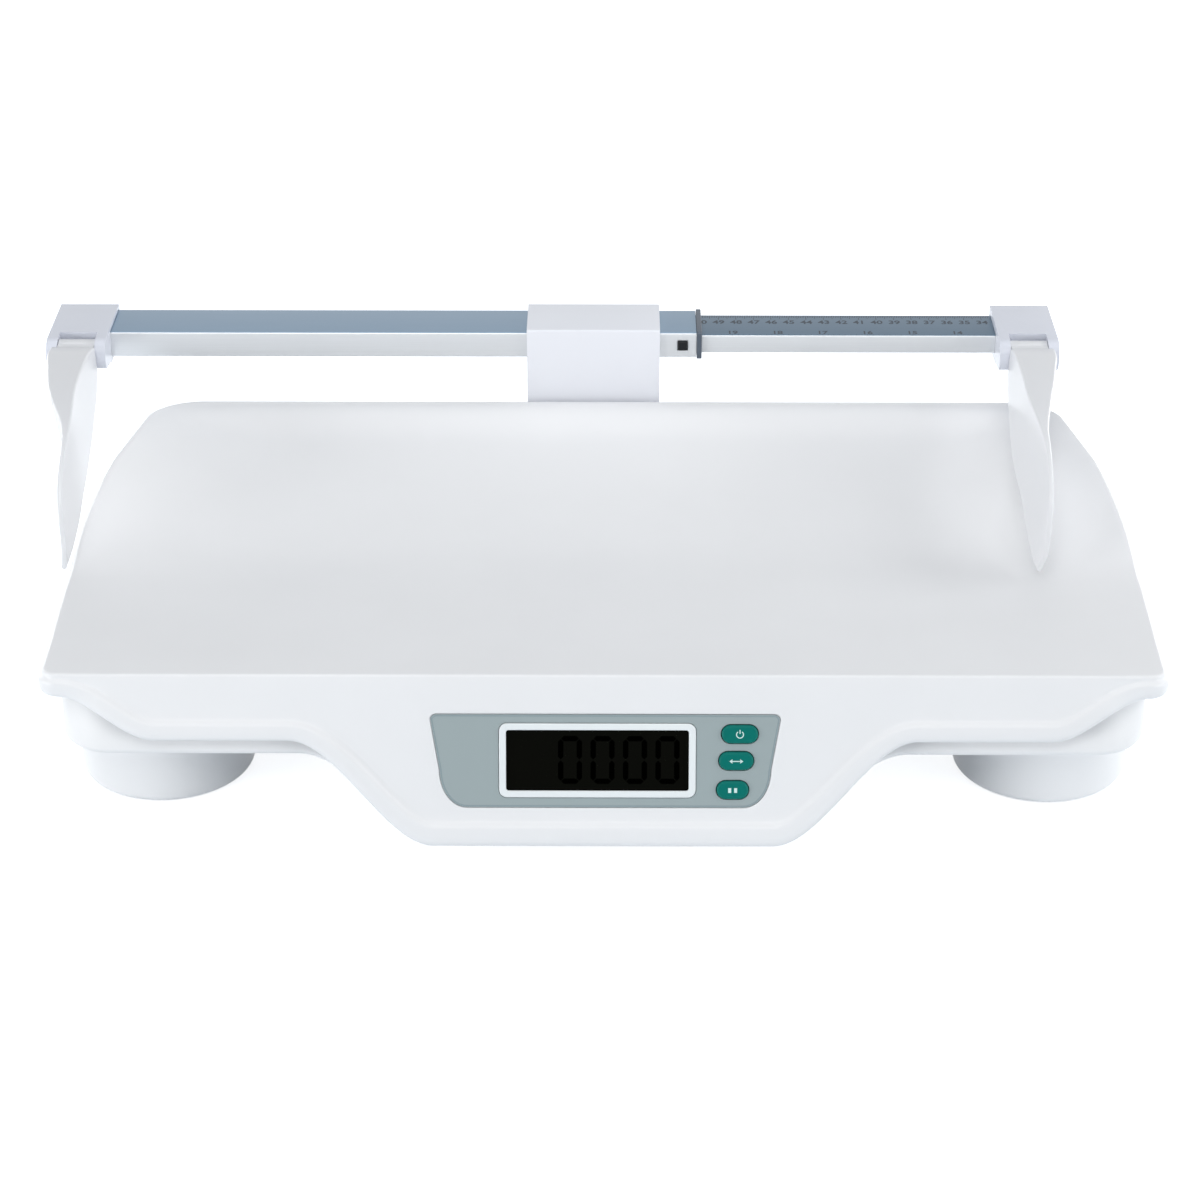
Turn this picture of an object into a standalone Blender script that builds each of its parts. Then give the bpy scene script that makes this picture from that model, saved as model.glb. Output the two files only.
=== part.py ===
"""Digital baby weighing scale with a telescoping measuring rod behind its tray.

X runs along the tray, Y from its front edge to the back, Z up. Lengths are metres.
"""

import math

import bmesh
import bpy
from mathutils import Matrix, Vector

# Display window, silver panel and keys; heights are measured down the leaning face
WINDOW_WIDTH = 0.0900
WINDOW_HEIGHT = 0.0304
WINDOW_ROUND = 0.0022
WINDOW_X = -0.0028
PANEL_X = 0.0010
PANEL_TOP = 0.0200
PANEL_SIDE = 0.0410
PANEL_OVER = 0.0078
PANEL_UNDER = 0.0084
PANEL_DRAW_IN = 0.0045
PANEL_CORNER_WIDTH = 0.0135
PANEL_CORNER_HEIGHT = 0.0186
PANEL_CORNER = 0.0030
PANEL_THICK = 0.0010
PANEL_RECESS = 0.0012
BEZEL_WIDTH = 0.0034
BEZEL_PROUD = 0.0007
LENS_THICK = 0.0012
LENS_LAP = 0.0020
MODULE_LAP = 0.0040
MODULE_DEPTH = 0.0048
BOARD_INSET = 0.0040
BOARD_ABOVE = 0.0030
BOARD_BELOW = 0.0011
BOARD_THICK = 0.0016
BOARD_SPACER = 0.0030
SPACER_INSET = 0.0045
KEY_AWAY = 0.0233
KEY_STEP = 0.0017
KEY_TOP_RISE = 0.0134
KEY_BOTTOM_FALL = 0.0146
KEY_LENGTH = 0.0180
KEY_LENGTH_SHARES = (1.0, 0.95, 0.878)
KEY_HEIGHT = 0.0092
KEY_PROUD = 0.0016
KEY_CROWN = 0.0007
KEY_FLANGE = 0.0010
KEY_TRAVEL = 0.0010
KEY_SIDE_GAP = 0.0004
SWITCH_SIDE = 0.0060
WINDOW_DROP = PANEL_TOP + PANEL_OVER + WINDOW_HEIGHT / 2
PANEL_BOTTOM = PANEL_TOP + PANEL_OVER + WINDOW_HEIGHT + PANEL_UNDER
PANEL_MIDDLE = PANEL_BOTTOM - PANEL_CORNER_HEIGHT
PANEL_HALF_TOP = WINDOW_WIDTH / 2 + PANEL_SIDE
PANEL_HALF_MIDDLE = PANEL_HALF_TOP - PANEL_DRAW_IN
PANEL_HALF_BOTTOM = PANEL_HALF_MIDDLE - PANEL_CORNER_WIDTH
KEY_X = WINDOW_X + WINDOW_WIDTH / 2 + KEY_AWAY

# Rolled border of the cover: it runs round the sides and back and dips round the display
FACE_LEAN = math.radians(19.0)
CHIN_LIFT = 0.0065
CHIN_BELOW_PANEL = 0.0196
CHIN_INSIDE_PANEL = 0.0020
SHOULDER_RUN = 0.0710
SIDE_DROP = 0.0125
SHOULDER_DROP = 0.0335
CORNER_FADE = 0.0070
CORNER_RUN = 0.0470
LEAN_RUN = 0.0240
BORDER_HEIGHT = 0.0105
CHIN_BORDER_MORE = 0.0022
BORDER_BULGE = 0.0022
BORDER_RETURN = 0.0034
BORDER_HEIGHT_SHARES = (0.14, 0.38, 0.68, 0.93)
BORDER_BULGE_SHARES = (0.65, 1.0, 0.92, 0.40)
CHIN_DROP = PANEL_BOTTOM + CHIN_BELOW_PANEL
CHIN_HALF = PANEL_HALF_TOP - CHIN_INSIDE_PANEL
SHOULDER_START = CHIN_HALF + SHOULDER_RUN
CHIN_CELLS = 3
SHOULDER_CELLS = 7
SIDE_CELLS = 5
FACE_RINGS = 2

# Tray and cover
TRAY_WIDTH = 0.550
TRAY_DEPTH = 0.275
TRAY_BULGE = 0.004
BULGE_SHARE = 0.473
TRAY_TAPER = 0.015
CORNER_WIDTH = 0.038
CORNER_DEPTH = 0.046
FRONT_CORNER = 0.006
REAR_RISE = 0.023
FLOOR_DIP = 0.006
CREASE_SHARE = 0.509
CREASE_SOFTNESS = 0.012
SIDE_RISE_START_SHARE = 0.382
SIDE_RISE_END_SHARE = 0.745
SIDE_WALL_START_SHARE = 0.64
COVER_WALL = 0.0026
RIM_ROUND = 0.0016
FRONT_RIM_Z = CHIN_LIFT + CHIN_DROP * math.cos(FACE_LEAN)
BULGE_Y = BULGE_SHARE * TRAY_DEPTH
CREASE_Y = CREASE_SHARE * TRAY_DEPTH
SIDE_RISE_START = SIDE_RISE_START_SHARE * TRAY_DEPTH
SIDE_RISE_END = SIDE_RISE_END_SHARE * TRAY_DEPTH
FRONT_HALF = TRAY_WIDTH / 2 - FRONT_CORNER
CORNER_DROP_START = TRAY_WIDTH / 2 - CORNER_FADE
CORNER_DROP_END = CORNER_DROP_START - CORNER_RUN
LEAN_END = FRONT_HALF - LEAN_RUN

# Base
BASE_Z = 0.043
BASE_WALL = 0.0026
BASE_INSET = 0.0042
BASE_FRONT_Y = -0.004
BASE_CORNER = 0.022
BASE_EDGE = 0.004
BASE_TOP_GAP = 0.006
BASE_CHIN_LIFT = 0.0020
BASE_CHIN_REACH = 0.0150
BASE_CHIN_INSET = 0.004
BASE_CHIN_BACK_START = 0.026
BASE_CHIN_BACK_END = 0.056
BASE_FRONT_WALL = 0.0130
BASE_CHIN_Z = CHIN_LIFT + BASE_CHIN_LIFT

# Feet
FOOT_RADIUS = 0.0438
FOOT_TAPER = 0.0010
FOOT_EDGE = 0.004
FOOT_LIFT = 0.0025
FOOT_WALL = 0.0025
FOOT_ROOF = 0.003
FRONT_FOOT_INSET = 0.0488
FRONT_FOOT_Y = 0.0629
REAR_FOOT_INSET = 0.0690
REAR_FOOT_AHEAD = 0.0630
POST_RADIUS = 0.0190
POST_BORE = 0.0135
POST_BOTTOM = 0.0160
CELL_SIDE = 0.034
CELL_THICK = 0.003
CELL_SLOT = 0.0022
CELL_TONGUE = 0.014
PAD_RADIUS = 0.038
PAD_THICK = 0.007
PAD_EDGE = 0.0015
PAD_STEM = 0.005
FRONT_FOOT_X = TRAY_WIDTH / 2 - FRONT_FOOT_INSET
REAR_FOOT_X = TRAY_WIDTH / 2 - REAR_FOOT_INSET
REAR_FOOT_Y = TRAY_DEPTH - REAR_FOOT_AHEAD
TURN_STEPS = 24
PAD_STEPS = 20
SCREW_STEPS = 12

# Bracket that carries the rod
BRACKET_WIDTH = 0.0750
BRACKET_X = -0.0065
BRACKET_WALL = 0.0028
BRACKET_LEG = 0.0126
BRACKET_FOOT_LOW = 0.0100
BRACKET_FOOT_HIGH = 0.0050
BRACKET_SLOPE = 0.0035
BRACKET_GUSSET = 0.0230
BRACKET_ROUND = 0.0018
BRACKET_SCREW_INSET = 0.0135
BRACKET_FOOT_BOTTOM = BASE_Z + BRACKET_FOOT_LOW
BRACKET_FOOT_TOP = FRONT_RIM_Z + BRACKET_FOOT_HIGH
BRACKET_NECK = BRACKET_FOOT_TOP + BRACKET_SLOPE
BRACKET_SCREW_X = BRACKET_WIDTH / 2 - BRACKET_SCREW_INSET
BRACKET_SCREW_Z = (BRACKET_FOOT_BOTTOM + BRACKET_FOOT_TOP) / 2

# Measuring rod
ROD_BEHIND = 0.0263
ROD_ABOVE = 0.0309
OUTER_DEPTH = 0.034
OUTER_HEIGHT = 0.015
TUBE_WALL = 0.0016
TUBE_ROUND = 0.0012
SLIDE_GAP = 0.0004
OUTER_PAST_BRACKET = 0.0206
INNER_LAP = 0.1666
LEFT_FACE_OUT = 0.0040
RIGHT_FACE_INSET = 0.0545
BUSH_THICK = 0.0028
BUSH_PROUD = 0.0008
LOCK_INSET = 0.0077
LOCK_SIDE = 0.0056
LOCK_PROUD = 0.0014
LOCK_TRAVEL = 0.0009
HUB_WIDTH = 0.0330
HUB_WALL = 0.0025
HUB_CHEEK = 0.0060
HUB_END_WALL = 0.0040
HUB_SOCKET_STOP = 0.0040
PIVOT_FORWARD = 0.0105
PIVOT_DROP = 0.0092
BARREL_RADIUS = 0.0075
CHEEK_RADIUS = 0.0092
PIN_RADIUS = 0.0020
ROD_Y = TRAY_DEPTH + ROD_BEHIND
ROD_Z = FRONT_RIM_Z + REAR_RISE + ROD_ABOVE
LEFT_FACE_X = -TRAY_WIDTH / 2 - LEFT_FACE_OUT
RIGHT_FACE_X = TRAY_WIDTH / 2 - RIGHT_FACE_INSET
OUTER_LEFT_X = LEFT_FACE_X - HUB_WIDTH + HUB_END_WALL + HUB_SOCKET_STOP
OUTER_RIGHT_X = BRACKET_X + BRACKET_WIDTH / 2 + OUTER_PAST_BRACKET
INNER_LEFT_X = OUTER_RIGHT_X - INNER_LAP
LOCK_X = OUTER_RIGHT_X - LOCK_INSET

# Paddles; each station forward of the pivot gives shares of the paddle's reach for its distance,
# of its fall for its upper and lower edges, and of its root's thickness
PADDLE_REACH = 0.1540
PADDLE_FALL = 0.0490
PADDLE_TOE_OUT = 0.0060
PADDLE_EDGE = 0.0010
PADDLE_SHARES = (
    (0.039, 0.139, -0.139, 0.930),
    (0.084, 0.171, -0.220, 0.930),
    (0.156, 0.204, -0.306, 1.000),
    (0.260, 0.212, -0.400, 0.809),
    (0.377, 0.204, -0.510, 0.490),
    (0.506, 0.171, -0.592, 0.304),
    (0.662, 0.102, -0.673, 0.235),
    (0.792, 0.000, -0.796, 0.216),
    (0.896, -0.163, -0.908, 0.206),
    (0.961, -0.408, -0.959, 0.196),
    (1.000, -0.816, -1.000, 0.167),
)

# Battery bay: cells side by side, their caps at alternate ends
BAY_X = 0.080
BAY_Y = 0.150
CELL_LENGTH = 0.0500
CELL_RADIUS = 0.0071
CELL_COUNT = 4
CELL_PITCH = 0.0152
CELL_CAP = 0.0012
CELL_CAP_RADIUS = 0.0027
BAY_END_ROOM = 0.0040
BAY_SIDE_ROOM = 0.0012
BAY_WALL = 0.0016
BAY_FLANGE = 0.0040
DOOR_THICK = 0.0020
DOOR_GRIP_WIDTH = 0.0160
DOOR_GRIP_DEPTH = 0.0008
DOOR_LIP = 0.0030

# Adaptor socket in the back wall
SOCKET_X = -0.110
SOCKET_ABOVE = 0.0230
SOCKET_RADIUS = 0.0055
SOCKET_RIM = 0.0080
SOCKET_DEPTH = 0.0110
SOCKET_BORE = 0.0028
SOCKET_PIN = 0.0009
SOCKET_Z = BASE_Z + SOCKET_ABOVE

# Screws and the bosses that take them
SCREW_RADIUS = 0.0017
SCREW_HEAD_RADIUS = 0.0036
SCREW_HEAD = 0.0022
SCREW_SLOT = 0.0008
BOSS_RADIUS = 0.0045
BOSS_GAP = 0.0006
COVER_SCREW_X_SHARE = 0.545
COVER_SCREW_Y_SHARES = (0.273, 0.745)

# Working values
GAP = 0.0003
OVERRUN = 0.005
WELD = 0.000001
SHARP_ANGLE = math.radians(32.0)
FLAT_ANGLE = math.radians(0.5)


def clear_scene():
    for existing in list(bpy.data.objects):
        bpy.data.objects.remove(existing)


clear_scene()
PARTS = bpy.data.collections.new("baby_weighing_scale")
CUTTERS = bpy.data.collections.new("cutters")
bpy.context.scene.collection.children.link(PARTS)
bpy.context.scene.collection.children.link(CUTTERS)


def finish(name, colour, roughness, metallic=0.0):
    """A plain Principled material in the part's own colour."""
    made = bpy.data.materials.new(name)
    made.use_nodes = True
    shader = made.node_tree.nodes["Principled BSDF"]
    shader.inputs["Base Color"].default_value = (*colour, 1.0)
    shader.inputs["Roughness"].default_value = roughness
    shader.inputs["Metallic"].default_value = metallic
    return made


WHITE_PLASTIC = finish("white_plastic", (0.86, 0.87, 0.89), 0.35)
BASE_PLASTIC = finish("base_plastic", (0.80, 0.83, 0.86), 0.42)
RUBBER = finish("grey_rubber", (0.16, 0.17, 0.18), 0.8)
SILVER = finish("silver_foil", (0.42, 0.47, 0.48), 0.38)
GLASS = finish("display_glass", (0.012, 0.013, 0.014), 0.12)
TEAL = finish("teal_key", (0.0, 0.22, 0.18), 0.45)
CIRCUIT = finish("circuit_board", (0.02, 0.16, 0.06), 0.5)
ALUMINIUM = finish("satin_aluminium", (0.62, 0.66, 0.70), 0.32, 1.0)
DARK_PLASTIC = finish("dark_plastic", (0.03, 0.035, 0.04), 0.45)
STEEL = finish("zinc_steel", (0.55, 0.56, 0.58), 0.3, 1.0)
CELL_JACKET = finish("cell_jacket", (0.10, 0.11, 0.13), 0.35)


def empty(name, place, turn=(0.0, 0.0, 0.0), parent=None):
    """A frame that carries pieces: its origin is where their joint or datum is."""
    made = bpy.data.objects.new(name, None)
    made.location = place
    made.rotation_euler = turn
    made.parent = parent
    PARTS.objects.link(made)
    return made


FRAME = empty("scale_frame", (0.0, 0.0, 0.0))
FACE_PLACE = (0.0, -RIM_ROUND * math.cos(FACE_LEAN), FRONT_RIM_Z + RIM_ROUND * math.sin(FACE_LEAN))
FACE = empty("display_face", FACE_PLACE, (math.pi / 2 - FACE_LEAN, 0.0, 0.0), FRAME)
ROD = empty("rod_axis", (0.0, ROD_Y, ROD_Z), parent=FRAME)


def piece(name, shape, surface, parent=FRAME, place=(0.0, 0.0, 0.0), helper=False):
    """An object from a bmesh, smooth except over its sharp edges."""
    mesh = bpy.data.meshes.new(name)
    shape.to_mesh(mesh)
    shape.free()
    mesh.shade_smooth()
    mesh.set_sharp_from_angle(angle=SHARP_ANGLE)
    made = bpy.data.objects.new(name, mesh)
    made.parent = parent
    made.location = place
    if helper:
        CUTTERS.objects.link(made)
        made.hide_render = True
        made.display_type = "WIRE"
    else:
        PARTS.objects.link(made)
        mesh.materials.append(surface)
    return made


def combine(target, other, operation):
    """A live Boolean; the other object becomes a hidden helper."""
    step = target.modifiers.new(operation.lower(), "BOOLEAN")
    step.operation = operation
    step.object = other
    return target


def cut(target, other):
    return combine(target, other, "DIFFERENCE")


def join(target, other):
    return combine(target, other, "UNION")


def round_edges(target, width, segments=2):
    step = target.modifiers.new("rounded_edges", "BEVEL")
    step.width = width
    step.segments = segments
    step.limit_method = "ANGLE"
    step.angle_limit = SHARP_ANGLE


def box(low, high):
    """A block between two corners."""
    shape = bmesh.new()
    bmesh.ops.create_cube(shape, size=1.0)
    size = [b - a for a, b in zip(low, high)]
    middle = [(a + b) / 2 for a, b in zip(low, high)]
    bmesh.ops.scale(shape, vec=size, verts=shape.verts)
    bmesh.ops.translate(shape, vec=middle, verts=shape.verts)
    return shape


def cylinder(radius, low, high, axis="Z", sides=24):
    """A round bar centred on its axis, from low to high along it."""
    shape = bmesh.new()
    bmesh.ops.create_cone(
        shape, cap_ends=True, segments=sides, radius1=radius, radius2=radius, depth=high - low
    )
    bmesh.ops.translate(shape, vec=(0.0, 0.0, (low + high) / 2), verts=shape.verts)
    turns = {"X": Matrix.Rotation(math.pi / 2, 4, "Y"), "Y": Matrix.Rotation(-math.pi / 2, 4, "X")}
    if axis in turns:
        bmesh.ops.transform(shape, matrix=turns[axis], verts=shape.verts)
    return shape


def moved(shape, offset):
    bmesh.ops.translate(shape, vec=offset, verts=shape.verts)
    return shape


def plate(loops, low, high):
    """A flat outline with its holes, filled from height low to high: a 2D curve made a mesh."""
    curve = bpy.data.curves.new("outline", "CURVE")
    curve.dimensions = "2D"
    curve.fill_mode = "BOTH"
    curve.extrude = (high - low) / 2
    for loop in loops:
        spline = curve.splines.new("POLY")
        spline.points.add(len(loop) - 1)
        for point, (x, y) in zip(spline.points, loop):
            point.co = (x, y, 0.0, 1.0)
        spline.use_cyclic_u = True
    source = bpy.data.objects.new("outline", curve)
    CUTTERS.objects.link(source)
    graph = bpy.context.evaluated_depsgraph_get()
    mesh = bpy.data.meshes.new_from_object(source.evaluated_get(graph))
    shape = bmesh.new()
    shape.from_mesh(mesh)
    bmesh.ops.remove_doubles(shape, verts=shape.verts, dist=WELD)
    if len(loops) == 1:
        bmesh.ops.dissolve_limit(shape, angle_limit=FLAT_ANGLE, verts=shape.verts, edges=shape.edges)
    bpy.data.objects.remove(source)
    bpy.data.curves.remove(curve)
    bpy.data.meshes.remove(mesh)
    return moved(shape, (0.0, 0.0, (low + high) / 2))


def along_x(shape):
    """Turns a plate so that its outline lies in YZ and its thickness along X."""
    turn = Matrix(((0, 0, 1, 0), (1, 0, 0, 0), (0, 1, 0, 0), (0, 0, 0, 1)))
    bmesh.ops.transform(shape, matrix=turn, verts=shape.verts)
    return shape


def arc(centre, radius, start, end, steps):
    """Points of an arc, in degrees; radius may be a pair for an ellipse."""
    wide, high = radius if isinstance(radius, tuple) else (radius, radius)
    angles = [math.radians(start + (end - start) * k / steps) for k in range(steps + 1)]
    return [(centre[0] + wide * math.cos(a), centre[1] + high * math.sin(a)) for a in angles]


def rounded_rectangle(width, height, radius, centre=(0.0, 0.0), steps=4):
    x, y = width / 2 - radius, height / 2 - radius
    corners = ((x, y, 0), (-x, y, 90), (-x, -y, 180), (x, -y, 270))
    loop = []
    for across, up, start in corners:
        middle = (centre[0] + across, centre[1] + up)
        loop += arc(middle, radius, start, start + 90, steps)
    return loop


def stadium(length, height, centre=(0.0, 0.0)):
    """A slot outline with round ends."""
    return rounded_rectangle(length, height, height / 2 - WELD, centre, 6)


def smooth(low, high, value):
    """0 before low, 1 past high and an even S between; low may be the larger of the two."""
    share = min(max((value - low) / (high - low), 0.0), 1.0)
    return share * share * (3.0 - 2.0 * share)


def turned_piece(name, profile, steps, surface, parent=FRAME, place=(0.0, 0.0, 0.0)):
    """A solid of revolution: a profile from the axis at the top to the axis at the bottom."""
    shape = bmesh.new()
    verts = [shape.verts.new((radius, 0.0, height)) for radius, height in profile]
    for first, second in zip(verts, verts[1:]):
        shape.edges.new((first, second))
    made = piece(name, shape, surface, parent, place)
    step = made.modifiers.new("turned", "SCREW")
    step.steps = steps
    step.render_steps = steps
    step.use_merge_vertices = True
    step.merge_threshold = WELD
    return made


# Tray form


def half_width(y):
    """Half the tray's width at depth y: a slight bulge, a taper and round corners."""
    corner_start = TRAY_DEPTH - CORNER_DEPTH
    side = TRAY_WIDTH / 2 + TRAY_BULGE * smooth(0.0, BULGE_Y, y)
    if y > BULGE_Y:
        side -= TRAY_TAPER * min((y - BULGE_Y) / (corner_start - BULGE_Y), 1.0) ** 2
    if y > corner_start:
        share = min((y - corner_start) / CORNER_DEPTH, 1.0)
        side -= CORNER_WIDTH * (1.0 - math.sqrt(1.0 - share * share))
    if y < FRONT_CORNER:
        share = 1.0 - y / FRONT_CORNER
        side -= FRONT_CORNER * (1.0 - math.sqrt(1.0 - share * share))
    return side


def rim_z(y):
    """Height of the side rim: level at the front, then up to the back rim."""
    return FRONT_RIM_Z + REAR_RISE * smooth(SIDE_RISE_START, SIDE_RISE_END, y)


def floor_z(y):
    """Height of the tray along its middle: a shallow dip, a soft crease, then the back wall."""
    ahead = 1.0 - min(y / CREASE_Y, 1.0)
    dip = FLOOR_DIP * (1.0 - ahead * ahead)
    back = TRAY_DEPTH - CREASE_Y
    share, soft = (y - CREASE_Y) / back, CREASE_SOFTNESS / back
    ramp = (share + math.hypot(share, soft)) / (1.0 + math.hypot(1.0, soft))
    return FRONT_RIM_Z - dip + (REAR_RISE + FLOOR_DIP) * ramp


def tray_z(across, y):
    """Height at a share of the half width: the side walls curl up to the rim."""
    wall = max(across - SIDE_WALL_START_SHARE, 0.0) / (1.0 - SIDE_WALL_START_SHARE)
    return floor_z(y) + (rim_z(y) - floor_z(y)) * wall * wall


def front_drop(x):
    """How far the cover's front reaches down its leaning face at x."""
    corner = smooth(CORNER_DROP_START, CORNER_DROP_END, abs(x))
    chin = smooth(SHOULDER_START, CHIN_HALF, abs(x))
    return SIDE_DROP + (SHOULDER_DROP - SIDE_DROP) * corner + (CHIN_DROP - SHOULDER_DROP) * chin


def drop_slope(x):
    """Slope of the cover's lower edge at x."""
    return (front_drop(x + GAP) - front_drop(x - GAP)) / (2 * GAP)


def border_height(x):
    """Width of the rolled border, square to its edge: a little more under the display."""
    return BORDER_HEIGHT + CHIN_BORDER_MORE * smooth(SHOULDER_START, CHIN_HALF, abs(x))


def spread(start, end, cells):
    return [start + (end - start) * k / cells for k in range(cells)]


def stations():
    """Shares of the half width, closest together where the front edge curves down."""
    half = TRAY_WIDTH / 2
    right = spread(0.0, CHIN_HALF, CHIN_CELLS) + spread(CHIN_HALF, SHOULDER_START, SHOULDER_CELLS)
    right += spread(SHOULDER_START, half, SIDE_CELLS) + [half]
    shares = [x / half for x in right]
    return [-share for share in reversed(shares[1:])] + shares


def depths(front_cells=4, back_cells=4, corner_cells=4):
    """Rows from front to back, with one on the crease and arcs of the corner at even angles."""
    corner_start = TRAY_DEPTH - CORNER_DEPTH
    rows = [0.0, FRONT_CORNER * (1.0 - math.cos(math.pi / 4))]
    rows += spread(FRONT_CORNER, CREASE_Y, front_cells) + spread(CREASE_Y, corner_start, back_cells)
    return rows + [
        corner_start + CORNER_DEPTH * math.sin(math.pi / 2 * k / corner_cells)
        for k in range(corner_cells + 1)
    ]


def border_walk(rows):
    """The grid's outer vertices, counter-clockwise seen from above."""
    last_row, last = len(rows) - 1, len(rows[0]) - 1
    walk = [(0, k) for k in range(last)] + [(k, last) for k in range(last_row)]
    walk += [(last_row, k) for k in range(last, 0, -1)] + [(k, 0) for k in range(last_row, 0, -1)]
    return walk


def outward(loop):
    """The flat outward direction at each point of a counter-clockwise loop."""
    result = []
    for k, _ in enumerate(loop):
        run = loop[(k + 1) % len(loop)] - loop[k - 1]
        result.append(Vector((run.y, -run.x, 0.0)).normalized())
    return result


def skirted_shell(name, rows, rings, wall, surface, opens_up=False):
    """A shell: a grid surface with rings of skirt round it, given its wall by Solidify."""
    shape = bmesh.new()
    grid = [[shape.verts.new(point) for point in row] for row in rows]
    for near, far in zip(grid, grid[1:]):
        for k in range(len(near) - 1):
            shape.faces.new((near[k], near[k + 1], far[k + 1], far[k]))
    edge = [grid[row][column] for row, column in border_walk(rows)]
    for ring in rings:
        below = [shape.verts.new(point) for point in ring]
        for k in range(len(edge)):
            following = (k + 1) % len(edge)
            shape.faces.new((edge[k], below[k], below[following], edge[following]))
        edge = below
    if opens_up:
        bmesh.ops.reverse_faces(shape, faces=shape.faces)
    made = piece(name, shape, surface)
    step = made.modifiers.new("wall", "SOLIDIFY")
    step.thickness = wall
    step.offset = -1.0
    step.use_even_offset = True
    return made


def cover_rings(rows):
    """Rim rounding, leaning face and rolled border, for each point of the tray's edge."""
    loop = [rows[row][column] for row, column in border_walk(rows)]
    rings = [[] for _ in range(1 + FACE_RINGS + len(BORDER_HEIGHT_SHARES) + 1)]
    for point, away in zip(loop, outward(loop)):
        on_front = point.y < WELD
        drop, slope, border, lean = SIDE_DROP, 0.0, BORDER_HEIGHT, 0.0
        if on_front:
            drop, slope, border = front_drop(point.x), drop_slope(point.x), border_height(point.x)
            lean = FACE_LEAN * smooth(FRONT_HALF, LEAN_END, abs(point.x))
        down = Vector((0.0, -math.sin(lean), -math.cos(lean)))
        out = away * math.cos(lean) + Vector((0.0, 0.0, math.sin(lean)))
        along = Vector((-away.y, away.x, 0.0))
        border /= math.hypot(1.0, slope)
        flat = drop - border
        places = [(RIM_ROUND, RIM_ROUND, 0.0)]
        for k in range(1, FACE_RINGS + 1):
            share = k / FACE_RINGS
            places.append((RIM_ROUND, RIM_ROUND + (flat - RIM_ROUND) * share, slope * border * share))
        for height_share, bulge_share in zip(BORDER_HEIGHT_SHARES, BORDER_BULGE_SHARES):
            shift = slope * border * (1.0 - height_share)
            places.append((RIM_ROUND + BORDER_BULGE * bulge_share, flat + border * height_share, shift))
        for ring, (reach, fall, shift) in zip(rings, places):
            ring.append(point + out * reach + down * fall + along * shift)
        rings[-1].append(point - away * BORDER_RETURN + down * drop)
    return rings


def key_places():
    """For each key, its place across and down the face and its length."""
    rows = (("key_top", 1, -KEY_TOP_RISE), ("key_middle", 0, 0.0), ("key_bottom", -1, KEY_BOTTOM_FALL))
    places = {}
    for (name, step, fall), share in zip(rows, KEY_LENGTH_SHARES):
        places[name] = (KEY_X + step * KEY_STEP, WINDOW_DROP + fall, KEY_LENGTH * share)
    return places


def display_cutters(target):
    """The recess for the panel, the window and the key holes, cut in the cover's face."""
    recess = plate([panel_outline(GAP)], -PANEL_RECESS, OVERRUN)
    cut(target, piece("panel_recess", recess, None, FACE, helper=True))
    lap = 2 * LENS_LAP + 2 * GAP
    window = rounded_rectangle(
        WINDOW_WIDTH + lap, WINDOW_HEIGHT + lap, WINDOW_ROUND, (WINDOW_X, -WINDOW_DROP)
    )
    cut(target, piece("window_hole", plate([window], -OVERRUN, OVERRUN), None, FACE, helper=True))
    for key, (x, drop, key_length) in key_places().items():
        room = 2 * KEY_SIDE_GAP
        hole = stadium(key_length + room, KEY_HEIGHT + room, (x, -drop))
        cutter = piece(key + "_hole", plate([hole], -OVERRUN, OVERRUN), None, FACE, helper=True)
        cut(target, cutter)


def make_cover():
    rows = []
    for y in depths():
        half = half_width(y)
        rows.append([Vector((u * half, y, tray_z(abs(u), y))) for u in stations()])
    cover = skirted_shell("top_cover", rows, cover_rings(rows), COVER_WALL, WHITE_PLASTIC)
    display_cutters(cover)
    return cover


# Base


def base_chin(x):
    return smooth(SHOULDER_START - BASE_CHIN_INSET, CHIN_HALF - BASE_CHIN_INSET, abs(x))


def base_half_width(y):
    """Half width of the base: the tray's outline drawn in, with round front corners."""
    side = half_width(max(y + BASE_INSET, FRONT_CORNER)) - BASE_INSET
    ahead = BASE_FRONT_Y + BASE_CORNER - y
    if ahead > 0.0:
        share = min(ahead / BASE_CORNER, 1.0)
        side -= BASE_CORNER * (1.0 - math.sqrt(1.0 - share * share))
    return side


def base_rows():
    """The bottom of the base, drawn in by its edge rounding, with the well behind the display."""
    corner_start = TRAY_DEPTH - CORNER_DEPTH
    corner = [math.sin(math.pi / 2 * k / 3) for k in range(4)]
    front = [BASE_FRONT_Y + BASE_CORNER * (1.0 - share) for share in reversed(corner)]
    well = [BASE_CHIN_BACK_START, (BASE_CHIN_BACK_START + BASE_CHIN_BACK_END) / 2, BASE_CHIN_BACK_END]
    back = [corner_start - BASE_INSET + CORNER_DEPTH * share for share in corner]
    rows = []
    for y in front + well + spread(BASE_CHIN_BACK_END, back[0], 3)[1:] + back:
        half = base_half_width(y) - BASE_EDGE
        held = 1.0 - smooth(BASE_CHIN_BACK_START, BASE_CHIN_BACK_END, y)
        shift = 1.0 - smooth(BASE_FRONT_Y, BASE_CHIN_BACK_START, y)
        inner = y + BASE_EDGE * (1.0 - 2.0 * smooth(front[0], back[-1], y))
        row = []
        for share in stations():
            x = share * half
            chin = base_chin(x)
            height = BASE_Z - (BASE_Z - BASE_CHIN_Z) * chin * held
            row.append(Vector((x, inner - BASE_CHIN_REACH * chin * shift, height)))
        rows.append(row)
    return rows


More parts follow.
